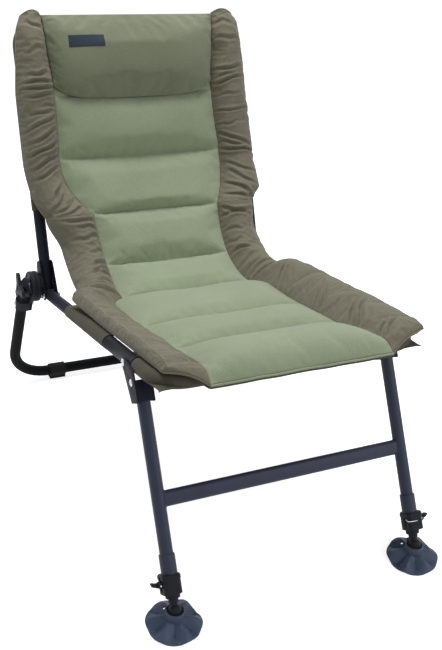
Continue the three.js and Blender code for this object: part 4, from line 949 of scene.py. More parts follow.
def addSeatBolster(sideName, side, folds):
    b = bolsters
    edge, crease = mat["seatEdge"], mat["crease"]
    w, y0 = bolsterGrid(edge, crease, b["along"] + 1)
    share = (y0 - edge) / (crease - edge)
    front = edge + (b["seatSetback"] - chair["seatDepth"] - edge) * w
    y = front + (crease - front) * share
    outer = b["seatOuter"][side] + (0 if side > 0 else 7 * smooth(share, 0.75, 1))
    inner = seatHalf(y0) - b["tuckIn"]
    x = inner + (outer - inner) * w
    rise = 5 * smooth(x, chair["halfFrame"], b["seatOuter"][side]) if side > 0 else 3 * w**2
    pinch = 0.14 + 0.86 * np.sqrt(1 - (1 - np.clip(share / 0.07, 0, 1)) ** 2)  # sewn shut at the front
    ends = pinch * (0.76 + 0.24 * smooth(share, 0, 0.3)) * (1 - 0.25 * smooth(share, 0.82, 1))
    tall = mat["seatRollFront"] + (mat["seatRollRear"] - mat["seatRollFront"]) * share
    rolled = seatRoll(w)
    if side < 0:  # the left one is slack: a ramp up to the stitched seam along its outer edge
        tall = mat["slackRoll"] * (1 + 0.55 * smooth(share, 0.85, 1))
        rolled = seatRollLeft(w) + (seatRoll(w) - seatRollLeft(w)) * smooth(share, 0.85, 1)
    under = seatUnder(x, y) + rise
    lower = placed(seatFrame, side * x, y, under)
    full = np.clip(rolled * 4, 0, 1)
    press = foldField(w, y0, folds, b["seatSpan"]) * full
    drift = rumple(lower, 11 + side, (1, 3, 1), b["rumple"][side]) * full
    thick = mat["hem"] + tall * ends * rolled + press + drift
    upper = placed(seatFrame, side * x, y, under + np.maximum(thick, mat["thinnest"]))
    piece = skin(sideName + "SeatBolster", upper, lower, flip=side < 0)
    finishBolster(piece, upper, sideName, "seat", "seat")
    if side > 0:  # the full one gets a mesh of its own
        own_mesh(piece)


def addBackBolster(sideName, side, folds):
    b = bolsters
    waist, head, top = mat["waist"], mat["head"], mat["top"]
    w, z0 = bolsterGrid(waist, top, b["along"] + 1)
    inner = backHalf(z0) + side * seamShift(z0) - b["tuckIn"]
    x = inner + (outerHalf[side](z0) - inner) * w
    lip = b["lip"] * smooth(w, 0.86, 1) * (1 - smooth(z0, head, 505))
    taper = 1 - 0.6 * smooth((z0 - waist) / (top - waist), 0.86, 1)
    under = backUnder(x, z0) + lip
    z = z0 + b["ear"] * smooth(z0, head, top) * backRoll(w)
    lower = placed(backFrame, side * x, under, z)
    full = np.clip(backRoll(w) * 4, 0, 1)
    press = foldField(w, z0, folds, b["backSpan"]) * full
    drift = rumple(lower, 21 + side, (1, 1, 3)) * full
    fade = smooth(z0, waist, waist + 10)
    thick = mat["hem"] + mat["backRoll"] * taper * backRoll(w) + (press + drift) * fade
    upper = placed(backFrame, side * x, under - np.maximum(thick, mat["thinnest"]), z)
    piece = skin(sideName + "BackBolster", upper, lower, flip=side < 0)
    finishBolster(piece, upper, sideName, "back", "back")


def addLumbarBolster(sideName, side, folds):
    b = bolsters
    w, share = bolsterGrid(0, 1, b["lumbarAlong"])
    inner = lumbarHalf(share) - b["tuckIn"]
    outer = b["lumbarOuter"] + (7 if side > 0 else 23) * smooth(share, 0.7, 1)
    x = inner + (outer - inner) * w
    rolled = seatRoll(w) * (1 - share) + backRoll(w) * share
    tall = mat["lumbarRoll"] + (mat["backRoll"] - mat["lumbarRoll"]) * share
    full = np.clip(rolled * 4, 0, 1)
    press = foldField(w, share * mat["bridgeSpan"], folds, b["backSpan"]) * full
    drift = rumple(bridge(share, x, np.zeros_like(x)), 31 + side, (1, 2.4, 2.4)) * full
    fade = smooth(share, 0, 0.05) * (1 - smooth(share, 0.95, 1))
    thick = mat["hem"] + tall * rolled + (press + drift) * fade
    lip = b["lip"] * smooth(w, 0.86, 1) * smooth(share, 0.4, 1)
    lower = bridge(share, x, -lip)
    upper = bridge(share, x, np.maximum(thick, mat["thinnest"]) - lip)
    for sheet in (upper, lower):
        sheet[..., 0] *= side
    piece = skin(sideName + "LumbarBolster", upper, lower, flip=side < 0)
    finishBolster(piece, upper, sideName, None, "lumbar", 0.005)
    acrossJoint(piece)


began = time.time()
addSeatPad()
addLumbarPad()
addBackPad()
addPillow()
for sideName, seatFolds, backFolds, lumbarFolds in (
    ("left", leftSeat, leftBack, leftLumbar),
    ("right", rightSeat, rightBack, rightLumbar),
):
    addSeatBolster(sideName, sides[sideName], seatFolds)
    addBackBolster(sideName, sides[sideName], backFolds)
    addLumbarBolster(sideName, sides[sideName], lumbarFolds)
print("mattress", round(time.time() - began), "s")

# Hard pieces are modelled in millimetres in their own frame's axes, then set in place.
weld = 0.001
mirror = Matrix.Diagonal((-1, 1, 1, 1))


def placeBy(piece, matrix):
    piece.data.transform(matrix)
    if matrix.determinant() < 0:
        piece.data.flip_normals()
    piece.data.update()
    return piece


def axes(ways, place=(0, 0, 0)):  # turns a piece's X, Y and Z to the ways named, as in "x -z y"
    columns = []
    for way in ways.split():
        column = [0, 0, 0, 0]
        column["xyz".index(way[-1])] = -1 if way[0] == "-" else 1
        columns.append(column)
    return Matrix(columns + [(*place, 1)]).transposed()


def acrossFrame(base, side, x, y, z):  # for pieces modelled upright: +Z turned to +X or -X
    return base @ axes("-z y x" if side > 0 else "z y -x", (x, y, z))


def turned(name, steps, around=40):  # (radius, height) pairs, extruded and scaled upwards along +Z
    radius, height = steps[0]
    place = (0, 0, height)
    bpy.ops.mesh.primitive_circle_add(vertices=around, radius=radius, fill_type="NGON", location=place)
    piece = bpy.context.object
    piece.name = name
    bpy.ops.object.transform_apply(location=True)
    openEdit(piece)
    for r, z in steps[1:]:
        bpy.ops.mesh.extrude_region_move(TRANSFORM_OT_translate={"value": (0, 0, z - height)})
        scale = r / radius
        bpy.ops.transform.resize(value=(scale, scale, 1), center_override=(0, 0, z))
        radius, height = r, z
    closeEdit(weld)
    return piece


def outlined(name, points, fill="NOTHING"):  # a closed loop through the points
    bpy.ops.mesh.primitive_circle_add(vertices=len(points), radius=1, fill_type=fill)
    piece = bpy.context.object
    piece.name = name
    for vertex, point in zip(piece.data.vertices, points):
        vertex.co = point
    return piece


def turnedRing(name, steps, around=40):  # a closed profile of (radius, height) spun round Z
    piece = outlined(name, [(r, 0, z) for r, z in steps])
    openEdit(piece)
    bpy.ops.mesh.spin(steps=around, angle=2 * math.pi, center=(0, 0, 0), axis=(0, 0, 1))
    closeEdit(weld)
    return piece


def cutAway(piece, tool):
    shape(piece, "BOOLEAN", object=tool, operation="DIFFERENCE", solver="EXACT")
    bpy.data.objects.remove(tool)
    return piece


def drill(piece, radius, depth, centre):
    bpy.ops.mesh.primitive_cylinder_add(vertices=24, radius=radius, depth=depth, location=centre)
    cutAway(piece, bpy.context.object)


def plate(name, outline, thick, bevel=0.4, segments=2, holes=()):  # outline in X and Y, thick along +Z
    piece = outlined(name, [(x, y, 0) for x, y in outline], "NGON")
    openEdit(piece)
    bpy.ops.mesh.extrude_region_move(TRANSFORM_OT_translate={"value": (0, 0, thick)})
    closeEdit()
    for x, y, radius in holes:
        drill(piece, radius, thick * 3, (x, y, thick / 2))
    if bevel:
        corner = math.radians(40)
        shape(piece, "BEVEL", width=bevel, segments=segments, limit_method="ANGLE", angle_limit=corner)
    return piece


def sheetBlock(low, high, bevel=0.5):
    bpy.ops.mesh.primitive_cube_add(size=1, location=[(a + b) / 2 for a, b in zip(low, high)])
    piece = bpy.context.object
    piece.scale = [abs(b - a) for a, b in zip(low, high)]
    bpy.ops.object.transform_apply(location=True, rotation=False, scale=True)
    if bevel:
        shape(piece, "BEVEL", width=bevel, segments=3)
    return piece


def joined(name, *parts):
    bpy.ops.object.select_all(action="DESELECT")
    for part in parts:
        part.select_set(True)
    bpy.context.view_layer.objects.active = parts[0]
    if len(parts) > 1:
        bpy.ops.object.join()
    piece = bpy.context.object
    piece.name = name
    return piece


def twin(piece, name):  # a copy with its own mesh
    copy = piece.copy()
    copy.data = piece.data.copy()
    copy.name = name
    bpy.context.collection.objects.link(copy)
    return copy


def wrappedOutline(circles, steps=40):  # a tight outline round (x, y, radius) circles
    points = sorted(
        (round(x + r * math.cos(t), 5), round(y + r * math.sin(t), 5))
        for x, y, r in circles
        for t in [2 * math.pi * k / steps for k in range(steps)]
    )

    def half(row):
        kept = []
        for p in row:
            while len(kept) > 1:
                (ax, ay), (bx, by) = kept[-2:]
                if (bx - ax) * (p[1] - ay) > (by - ay) * (p[0] - ax):
                    break
                kept.pop()
            kept.append(p)
        return kept[:-1]

    return half(points) + half(points[::-1])


def bentLine(corners, bend, steps=12):  # corner points joined by straight runs and round bends
    corners = [Vector(c) for c in corners]
    points = [corners[0]]
    for before, corner, after in zip(corners, corners[1:], corners[2:]):
        into = (corner - before).normalized()
        onward = (after - corner).normalized()
        turn = into.angle(onward)
        inward = (onward - into * into.dot(onward)).normalized()
        start = corner - into * bend * math.tan(turn / 2)
        for k in range(steps + 1):
            angle = turn * k / steps
            points.append(start + into * bend * math.sin(angle) + inward * bend * (1 - math.cos(angle)))
    points.append(corners[-1])
    return points


def tubeAlong(name, points, radius, wall=None, around=14):  # a swept round tube, open where it has a wall
    curve = bpy.data.curves.new(name, "CURVE")
    curve.dimensions = "3D"
    spline = curve.splines.new("POLY")
    spline.points.add(len(points) - 1)
    for point, place in zip(spline.points, points):
        point.co = (*place, 1)
    curve.bevel_depth = radius
    curve.bevel_resolution = around
    curve.use_fill_caps = not wall
    piece = bpy.data.objects.new(name, curve)
    bpy.context.collection.objects.link(piece)
    chosen(piece)
    bpy.ops.object.convert(target="MESH")
    piece = bpy.context.object
    openEdit(piece)
    closeEdit()
    if wall:
        shape(piece, "SOLIDIFY", thickness=wall, offset=-1)
    return piece


def finishHard(piece, finish, body, *nodes, angle=38):
    chosen(piece)
    bpy.ops.object.shade_smooth_by_angle(angle=math.radians(angle))
    piece.data.materials.clear()
    piece.data.materials.append(finishes[finish])
    for face in piece.data.polygons:
        face.material_index = 0
    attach(piece, body)
    if nodes:
        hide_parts(*nodes)
    return piece


def beside(base, y=0, z=0, mirrored=False):  # places on the left and right side tubes
    places = {side: base @ moved(side * chair["halfFrame"], y, z) for side in sides.values()}
    if mirrored:
        places[-1] = places[-1] @ mirror
    return places


# Sets a copy of a piece at each side's place. "{}" in a name stands for left or right.
def addPair(piece, label, places, finish, body, *nodes, angle=38):
    for name, side in sides.items():
        copy = placeBy(twin(piece, name + label), places[side])
        finishHard(copy, finish, body.format(name), *[node.format(name) for node in nodes], angle=angle)
    bpy.data.objects.remove(piece)


# Tubes
plug = {"into": (9.2, 14), "rim": 0.3, "gap": 0.1, "disc": 3.2, "dome": ((8.6, -5.4), (3, -6))}
legTube = {"top": -46, "foot": 53.5}
rearTop = -40


def addTubes():
    half, y, foot = chair["halfFrame"], chair["backSetback"], chair["backTubeFoot"]
    rearHalf = chair["rearWidth"] / 2
    loops = (
        ("seatTube", seatFrame, (half, chair["seatTail"], 0), (half, -chair["seatDepth"], 0), "frameBend",
         "framePaint", "seat", "seat_frame"),
        ("backTube", backFrame, (half, y, foot), (half, y, chair["backLength"]), "frameBend",
         "framePaint", "back", "back_frame"),
        ("rearLegTube", rearFrame, (rearHalf, 0, rearTop), (rearHalf, 0, -rearLength), "rearBend",
         "rearPaint", "rear_leg", "rear_leg"),
    )
    for name, base, end, corner, bend, finish, body, node in loops:
        corners = [(-end[0], *end[1:]), (-corner[0], *corner[1:]), corner, end]
        piece = tubeAlong(name, bentLine(corners, chair[bend]), chair["tube"], chair["wall"])
        finishHard(placeBy(piece, base), finish, body, node)
    wide = chair["tube"] - plug["gap"]
    steps = [plug["into"], (plug["into"][0], plug["rim"]), (wide, -plug["gap"]), (wide, -plug["disc"])]
    steps += plug["dome"]
    addPair(turned("plug", steps[::-1]), "BackPlug", beside(backFrame, y, foot), "blackPlastic", "back")
    line = [(0, 0, legTube["top"]), (0, 0, -legLength + legTube["foot"])]
    piece = tubeAlong("legTube", line, chair["tube"], chair["wall"])
    addPair(piece, "LegTube", beside(legFrame, -chair["legAhead"]), "legPaint", "front_legs", "front_leg_{}")


crossbar = {"drop": 253, "tall": 30, "deep": 16, "weld": 1.6, "into": 9.5}


def addCrossbar():
    half, ahead = chair["halfFrame"], -chair["legAhead"]
    straight = (crossbar["tall"] - crossbar["deep"]) / 2
    radius = crossbar["deep"] / 2
    outline = []
    for rise, start in ((straight, 0), (-straight, math.pi)):
        for t in np.linspace(start, start + math.pi, 13):
            outline.append((radius * math.cos(t), rise + radius * math.sin(t)))
    reach = half - crossbar["into"]
    bar = plate("crossbarTube", outline, 2 * reach, bevel=0)
    placeBy(bar, axes("y z x", (-reach, ahead, -crossbar["drop"])))
    points = []
    for deep, tall in outline + outline[:1]:  # weld bead where the oval meets the round leg
        rise = math.sqrt(max(0, chair["tube"] ** 2 - deep**2))
        points.append((half - rise, ahead + deep, -crossbar["drop"] + tall))
    bead = tubeAlong("weldBead", points, crossbar["weld"], around=3)
    piece = joined("crossbar", bar, bead, placeBy(twin(bead, "weldBead"), mirror))
    finishHard(placeBy(piece, legFrame), "legPaint", "front_legs", "front_crossbar")


# Bolts: a domed head with its washer at one end, a hex nut with the thread's end at the other
bolt = {
    "shank": 3,
    "head": 6,
    "dome": 3.1,
    "washer": 6.9,
    "washerThick": 1,
    "key": 1.7,
    "nut": 5.9,
    "nutTall": 4.6,
    "chamfer": 0.86,
    "pitch": 0.7,
    "hole": 3.1,
    "cheekFace": 15.6,
    "saddleFace": 17.6,
    "saddleDrop": -38,
}


def boltPiece(name, grip, tail):  # from its head at z = 0 up to its nut at z = grip
    shank, washer, thick, dome = bolt["shank"], bolt["washer"], bolt["washerThick"], bolt["dome"]
    steps = [(1.6, -dome), (3.4, -dome + 0.35), (5, -dome + 1.15), (bolt["head"], -1.1),
             (bolt["head"], -thick), (washer, -thick), (washer, 0), (shank, 0), (shank, grip), (washer, grip),
             (washer, grip + thick), (shank, grip + thick)]
    head = turned("head", steps, 32)
    cutAway(head, turned("socket", [(bolt["key"], -dome - 0.5), (bolt["key"], -dome + 1)], 6))
    wide, top = bolt["nut"], grip + bolt["nutTall"]
    narrow = wide * bolt["chamfer"]
    nut = turned("nut", [(narrow, grip + 1), (wide, grip + 1.7), (wide, top - 0.6), (narrow, top)], 6)
    thread = [(shank - 0.2, grip + 1)]
    for k in range(int(tail / bolt["pitch"]) + 1):
        z = top + bolt["pitch"] * k
        thread += [(shank, z + 0.1), (shank - 0.45, z + 0.45)]
    return joined(name, head, nut, turned("end", thread, 20))


def addBolt(name, base, fromX, toX, y, z, body, node, tail):
    side = 1 if toX > fromX else -1
    piece = boltPiece(name, abs(toX - fromX), tail)
    placeBy(piece, acrossFrame(base, side, fromX, y, z))
    return finishHard(piece, "zinc", body, node, angle=30)


def addBolts():
    def headOut(base, face, y, z):  # heads on the outer sides
        x = chair["halfFrame"] + face
        return {side: acrossFrame(base, -side, side * x, y, z) for side in sides.values()}

    face = bolt["cheekFace"]
    piece = boltPiece("bolt", 2 * face, 2)
    addPair(piece, "HingeBolt", headOut(seatFrame, face, 0, 0), "zinc", "seat", "hinge_bolt_{}", angle=30)
    face = bolt["saddleFace"]
    piece = boltPiece("bolt", 2 * face, 2.4)
    places = headOut(seatFrame, face, -chair["frontPivot"], 0)
    addPair(twin(piece, "bolt"), "LegPivotBolt", places, "zinc", "seat", "leg_pivot_bolt_{}", angle=30)
    places = headOut(legFrame, face, -chair["legAhead"], bolt["saddleDrop"])
    addPair(piece, "SaddleBolt", places, "zinc", "front_legs", "saddle_bolt_{}", angle=30)


def cheeks(circles, holes, inner, thick):  # two plates in Y and Z, thick along X
    cheek = plate("cheek", wrappedOutline(circles), thick, 0.45, 2, [(y, z, bolt["hole"]) for y, z in holes])
    other = placeBy(twin(cheek, "cheek"), axes("y z x", (-inner - thick, 0, 0)))
    return [placeBy(cheek, axes("y z x", (inner, 0, 0))), other]


# Hinge brackets: folded sheet with two cheeks, a web behind and a stop lip
bracket = {
    "inner": 12.8,
    "thick": 2.5,
    "tip": 10,
    "round": 15,
    "top": 63.5,
    "webFoot": 44,
    "stop": 15.6,
    "stopFoot": -6.5,
    "stopTop": 11,
    "fold": 1.1,
}


def addHingeBrackets():
    b = bracket
    setback, rise = chair["backSetback"], chair["pivotRise"]
    circles = [(0, 0, b["tip"]), (setback, rise, b["round"]), (setback, b["top"], b["round"])]
    parts = cheeks(circles, [(0, 0), (setback, rise)], b["inner"], b["thick"])
    outer = b["inner"] + b["thick"]
    web = (setback + b["inner"], b["webFoot"], b["top"])
    lip = (b["stop"], b["stopFoot"], b["stopTop"])
    for y, foot, top in (web, lip):
        parts.append(sheetBlock((-outer, y, foot), (outer, y + b["thick"], top), b["fold"]))
    piece = joined("bracket", *parts)
    addPair(piece, "HingeBracket", beside(backFrame), "framePaint", "back", "hinge_bracket_{}")


# Front leg saddles and the collars that they turn on
saddle = {
    "reach": 14.8,
    "thick": 2.5,
    "tip": 10,
    "flare": 4,
    "foot": 76,
    "webTop": 34,
    "corner": 2.5,
    "fold": 1.1,
}


def addSaddles():
    s = saddle
    y, corner, tip = -chair["legAhead"], s["corner"], s["tip"]
    front, rear = y - chair["tube"] - s["flare"], y + chair["tube"] + s["flare"]
    foot = -s["foot"] + corner
    circles = [(0, 0, tip), (front + tip, -s["webTop"] + tip, tip), (front + corner, foot, corner),
               (rear - corner, foot, corner)]
    parts = cheeks(circles, [(0, 0), (y, bolt["saddleDrop"])], s["reach"], s["thick"])
    outer = s["reach"] + s["thick"]
    low, high = (-outer, front, foot), (outer, front + s["thick"], -s["webTop"])
    piece = joined("saddle", *parts, sheetBlock(low, high, s["fold"]))
    addPair(piece, "LegSaddle", beside(legFrame), "framePaint", "front_legs", "leg_saddle_{}")


collar = {"inner": 12.8, "outer": 14.5, "front": 521, "rear": 379, "rim": 5, "round": 0.5, "waist": 0.6}


def addCollars():
    c = collar
    long, outer, rim, rounded = c["front"] - c["rear"], c["outer"], c["rim"], c["round"]
    rimEnd, waist = rim + 0.8, outer - c["waist"]
    steps = [(c["inner"], 0), (outer - rounded, 0), (outer, rounded), (outer, rim), (waist, rimEnd),
             (waist, long - rimEnd), (outer, long - rim), (outer, long - rounded), (outer - rounded, long),
             (c["inner"], long)]
    places = beside(seatFrame @ axes("x -z y", (0, -c["front"], 0)))
    addPair(turnedRing("collar", steps, 36), "LegCollar", places, "blackPlastic", "seat", "leg_collar_{}")


# Telescopic legs: sleeve, clamp with its cam lever, post and ball. Pieces that differ from side to side are
# modelled for the right.
clamp = {
    "top": -67.5,
    "foot": -31.5,
    "step": -23.5,
    "sleeveTop": -103.5,
    "pinRise": -50.5,
    "pinOut": 21.5,
    "slotFrom": 14.4,
    "slotTo": 34,
    "slotHalf": 3.9,
    "slotTall": 14,
    "ear": 4,
    "bevel": 1.2,
    "plan": [(19, 12), (14, 17), (-10.6, 17), (-15.6, 12), (-15.6, -12), (-10.6, -17), (14, -17), (19, -12)],
    "band": 7,
    "bandOut": 1.05,
    "wire": [
        (-16, -9, 6), (-18.6, -12, 5), (-18.4, -17.6, 2), (-12, -19.2, 1), (-4, -19.4, 0.5), (3, -18.2, 0),
    ],
}
legSleeve = {"inner": 12.8, "outer": 14.9, "gap": 0.3}
lever = {"thick": 7.2, "bore": 1.8, "thumb": 11, "thumbDrop": 1.9, "back": 3.6, "pin": 1.6, "pinHalf": 8.3}


def fromBall(height):  # heights above the ball, as heights in the leg's frame
    return -legLength - height


def addLevers(pin, places):
    arm = plate("leverArm", wrappedOutline([(0, 0, 5.2), (13, 3, 3.2)], 32), lever["thick"], 1.1, 3,
                [(0, 0, lever["bore"])])
    thumb = plate("leverThumb", wrappedOutline([(9, 4.2, 1.5), (14.5, 5.2, 2.2)], 20), lever["thumb"], 0.8)
    piece = joined("lever", arm, placeBy(thumb, moved(0, 0, -lever["thumbDrop"])))
    placeBy(piece, axes("x z y", (clamp["pinOut"], -lever["back"], pin)))
    openEdit(piece)
    closeEdit()
    addPair(piece, "CamLever", places, "blackPlastic", "lever_{}", "cam_lever_{}")
    radius, end = lever["pin"], lever["pinHalf"]
    steps = [(radius - 0.5, -end), (radius, -end + 0.4), (radius, end - 0.4), (radius - 0.5, end)]
    piece = turned("pin", steps, 16)
    placeBy(piece, axes("x -z y", (clamp["pinOut"], 0, pin)))
    addPair(piece, "LeverPin", places, "zinc", "front_legs", "lever_pin_{}")


def addLegEnds():
    y, c = -chair["legAhead"], clamp
    heights = ("top", "foot", "step", "sleeveTop", "pinRise")
    top, foot, step, sleeveTop, pin = (fromBall(c[k]) for k in heights)
    inner, outer, start = legSleeve["inner"], legSleeve["outer"], top + legSleeve["gap"]
    steps = [(inner, start), (outer, start), (outer, sleeveTop - 1.8), (outer - 0.4, sleeveTop - 0.8),
             (outer - 1.5, sleeveTop), (inner, sleeveTop)]
    piece = turnedRing("sleeve", steps, 40)
    addPair(piece, "LegSleeve", beside(legFrame, y), "legPaint", "front_legs", "leg_sleeve_{}")

    body = placeBy(plate("clampBody", c["plan"], top - foot, c["bevel"], 3), moved(0, 0, foot))
    wider = [(px * c["bandOut"], py * c["bandOut"]) for px, py in c["plan"]]
    band = placeBy(plate("clampBand", wider, c["band"], c["bevel"], 3), moved(0, 0, top - 9))
    slotHalf, tall = c["slotHalf"], c["slotTall"]
    slot = sheetBlock((c["slotFrom"], -slotHalf, pin - tall), (c["slotTo"], slotHalf, pin + tall), 0)
    cutAway(band, twin(slot, "slot"))
    cutAway(body, slot)
    ear = plate("ear", wrappedOutline([(c["pinOut"], 0, 5.6), (12, 4, 3), (12, -4, 3)], 24), c["ear"], 0.6)
    other = placeBy(twin(ear, "ear"), axes("x z y", (0, -slotHalf - c["ear"], pin)))
    placeBy(ear, axes("x z y", (0, slotHalf, pin)))
    ring = turned("clampStep", [(12.6, step), (13.5, step + 0.8), (13.5, foot + 0.5), (13, foot + 3)], 36)
    rib = sheetBlock((-15, -3, foot + 3), (-17.2, 3, top - 10), 0.8)
    piece = joined("clamp", body, band, ring, rib, ear, other)
    places = beside(legFrame, y, mirrored=True)
    addPair(piece, "ClampBlock", places, "blackPlastic", "front_legs", "clamp_block_{}")
    addLevers(pin, places)
    wire = [(px, py, pin + pz) for px, py, pz in c["wire"]]
    piece = tubeAlong("rightClampClip", bentLine(wire, 1.2, 3), 0.8, around=4)
    finishHard(placeBy(piece, places[1]), "zinc", "front_legs")


post = {
    "radius": 9.2,
    "ball": 12.5,
    "ballTo": 2.56,
    "neck": [(6.9, 12), (7.2, 14.8), (8.6, 16.2)],
    "neckTop": 17.5,
    "firstStop": 60,
    "stopStep": 34,
    "stops": 4,
    "groove": 0.4,
    "top": 247,
}


def addPosts():
    radius, ball, groove = post["radius"], post["ball"], post["groove"]
    turns = np.linspace(0.03, post["ballTo"], 16)
    steps = [(max(0.4, ball * math.sin(t)), -ball * math.cos(t)) for t in turns]
    steps += post["neck"] + [(radius, post["neckTop"])]
    for k in range(post["stops"]):  # stops for the clamp
        z = post["firstStop"] + post["stopStep"] * k
        steps += [(radius, z), (radius - groove, z + 0.6), (radius - groove, z + 1.6), (radius, z + 2.2)]
    steps += [(radius, post["top"]), (radius - 0.6, post["top"] + 1.5)]
    places = beside(legFrame, -chair["legAhead"], -legLength)
    addPair(turned("post", steps, 40), "InnerLeg", places, "blackPlastic", "extension_{}", "inner_leg_{}")


# Levelling feet: a socket round the ball and a petalled, dished foot
foot = {
    "radius": 50,
    "start": 14,
    "petals": 6,
    "petalPhase": 68.5,
    "crease": 8.5,
    "skirt": 3,
    "hub": 25,
    "drainAt": (-9.3, 26.3),
    "drain": 2.4,
    "around": 120,
    "rings": 16,
}
rimFrom = -146
rimHeights = [
    (-146, 3), (-111.5, 3.2), (-79.5, 3.2), (-48, 5.5), (-28.5, 9), (1.5, 10.5), (26.5, 12.5), (47.5, 17),
    (71.5, 14), (98.5, 14.5), (131.5, 15.5), (156.5, 9), (176.5, 5), (214, 3),
]
rimRadii = [
    (-146, 51), (-111.5, 51), (-79.5, 48.5), (-48, 50.5), (-28.5, 50.5), (1.5, 51), (26.5, 47.5), (47.5, 51),
    (71.5, 50), (98.5, 48), (131.5, 51), (156.5, 51), (176.5, 48.5), (214, 51),
]
boss = [(15, -31), (18, -31), (18, -26), (17.3, -12), (17.2, 0.4), (16.8, 1.4), (16.2, 1.7), (15.7, 1.2),
        (15.7, -10), (10, -19), (10, -31)]
socket = {"inner": 13.3, "outer": 15.2}


def softRim(pairs, degrees):  # the rim's outline, eased at its corners
    at, values = zip(*pairs)
    turns = [(degrees + shift - rimFrom) % 360 + rimFrom for shift in (-5, -2.5, 0, 2.5, 5)]
    return np.mean(np.interp(turns, at, values))


def footHeight(degrees, radius):  # of the dish's lower face, above the ground
    share = (radius - 12) / (foot["radius"] - 12)
    hub = foot["hub"] - foot["skirt"]
    edge = softRim(rimHeights, degrees) - foot["skirt"]
    petal = abs(((degrees - foot["petalPhase"]) * foot["petals"] / 360) % 1 - 0.5) * 2
    crease = foot["crease"] * (petal - 0.5) * 2 * math.sin(math.pi * min(1, share * 0.86 + 0.08))
    return hub + (edge - hub) * share**0.72 - crease * (0.4 + share)


def addFeet():
    around, rings = foot["around"], foot["rings"]
    sheet = []
    for share in np.linspace(foot["start"] / foot["radius"], 1, rings + 1):
        for i in range(around):
            degrees = 360 * i / around
            angle = math.radians(degrees)
            reach = share * (foot["radius"] + (softRim(rimRadii, degrees) - foot["radius"]) * share**2)
            z = max(footHeight(degrees, foot["radius"] * share), 0.2) - chair["ballHeight"]
            sheet.append((reach * math.cos(angle), reach * math.sin(angle), z))
    faces = []
    for k in range(rings):
        for i in range(around):
            a, b = k * around + i, k * around + (i + 1) % around
            faces.append((a, a + around, b + around, b))
    mesh = bpy.data.meshes.new("footDish")
    mesh.from_pydata(sheet, [], faces)
    dish = bpy.data.objects.new("footDish", mesh)
    bpy.context.collection.objects.link(dish)
    shape(dish, "SOLIDIFY", thickness=foot["skirt"], offset=1)
    openEdit(dish)
    closeEdit()
    shape(dish, "BEVEL", width=0.7, segments=2, limit_method="ANGLE", angle_limit=math.radians(50))
    drill(dish, foot["drain"], 80, (*foot["drainAt"], -20))
    piece = joined("foot", dish, turnedRing("footBoss", boss, 48))
    places = {side: footFrame(side) for side in sides.values()}
    addPair(piece, "MudFoot", places, "footPlastic", "foot_{}", "mud_foot_{}", angle=32)
    steps = []
    for radius, start, end in ((socket["outer"], -0.62, 0.165), (socket["inner"], 0.19, -0.72)):
        steps += [(radius * math.cos(t), radius * math.sin(t)) for t in np.linspace(start, end, 10)]
    piece = turnedRing("socket", steps, 40)
    addPair(piece, "FootSocket", places, "blackPlastic", "socket_{}", "foot_socket_{}")


# Rear leg: rubber feet clipped on the bar
clip = {
    "half": 19.5,
    "inset": 61,
    "bore": 12.9,
    "outer": 16.1,
    "deep": 11,
    "round": 0.8,
    "foot": -20,
    "top": -11.5,
    "grip": 1.2,
    "gripOut": 0.4,
    "gripStep": 6,
}


def addRearFeet():
    c = clip
    half, outer, rounded = c["half"], c["outer"], c["round"]
    steps = [(c["bore"], -half), (outer - rounded, -half), (outer, -half + rounded), (outer, half - rounded),
             (outer - rounded, half), (c["bore"], half)]
    ring = placeBy(turnedRing("clipRing", steps, 40), Matrix.Rotation(math.pi / 2, 4, "Y"))
    block = sheetBlock((-half, -c["deep"], c["foot"]), (half, c["deep"], c["top"]), 1.2)
    deep = c["deep"] + c["gripOut"]
    grip = sheetBlock((-c["grip"], -deep, c["foot"] + 1), (c["grip"], deep, c["top"] - 1), 0.4)
    grips = [placeBy(twin(grip, "grip"), moved(c["gripStep"] * k, 0, 0)) for k in (-2, -1, 1, 2)]
    piece = joined("clip", ring, block, grip, *grips)
    out = chair["halfFrame"] - c["inset"]
    level = turnX(-chair["rearLean"])
    places = {side: rearFrame @ moved(side * out, 0, -rearLength) @ level for side in sides.values()}
    addPair(piece, "RearFoot", places, "rubber", "rear_leg", "rear_foot_{}")


# Ratchet joint on the left, outwards from the bracket: housing, toothed arm, spring washer, knob
ratchet = {
    "radius": 34,
    "boss": 24,
    "from": 15.6,
    "bossThick": 8,
    "thick": 9,
    "ribs": 12,
    "shell": 15.8,
    "armFoot": 64,
    "shellTop": 38,
    "gap": 0.3,
    "hubFrom": 4.3,
    "lobes": 3,
    "lobeOut": 60,
    "hubEnd": 67,
    "keyHole": 6.8,
    "boltDrop": -53,
}
rearOut = 52.5  # from the frame's tube to the rear leg's
springProfile = [(3.5, 2), (7, 1.2), (11, 0), (11, 1.6), (7, 2.9), (3.5, 3.8)]


def addHousing(onPivot):
    r = ratchet
    radius, z1 = r["radius"], r["bossThick"]
    z2 = z1 + r["thick"]
    steps = [(r["boss"], 0), (r["boss"], z1 - 2), (r["boss"] + 3, z1), (radius - 1, z1), (radius, z1 + 1),
             (radius, z2 - 2.2), (radius - 1.2, z2 - 1.2), (radius - 1.2, z2)]
    disc = turned("disc", steps, 72)
    rib = sheetBlock((12, -0.9, z1 - 4), (radius - 2, 0.9, z1 + 1), 0.3)  # on the housing's inner face
    turns = [2 * math.pi * k / r["ribs"] for k in range(1, r["ribs"])]
    ribs = [placeBy(twin(rib, "rib"), Matrix.Rotation(turn, 4, "Z")) for turn in turns]
    piece = joined("ratchetHousing", disc, rib, *ribs)
    finishHard(placeBy(piece, onPivot(r["from"])), "blackPlastic", "back", "ratchet_housing", angle=30)
    return r["from"] + z2 + r["gap"]


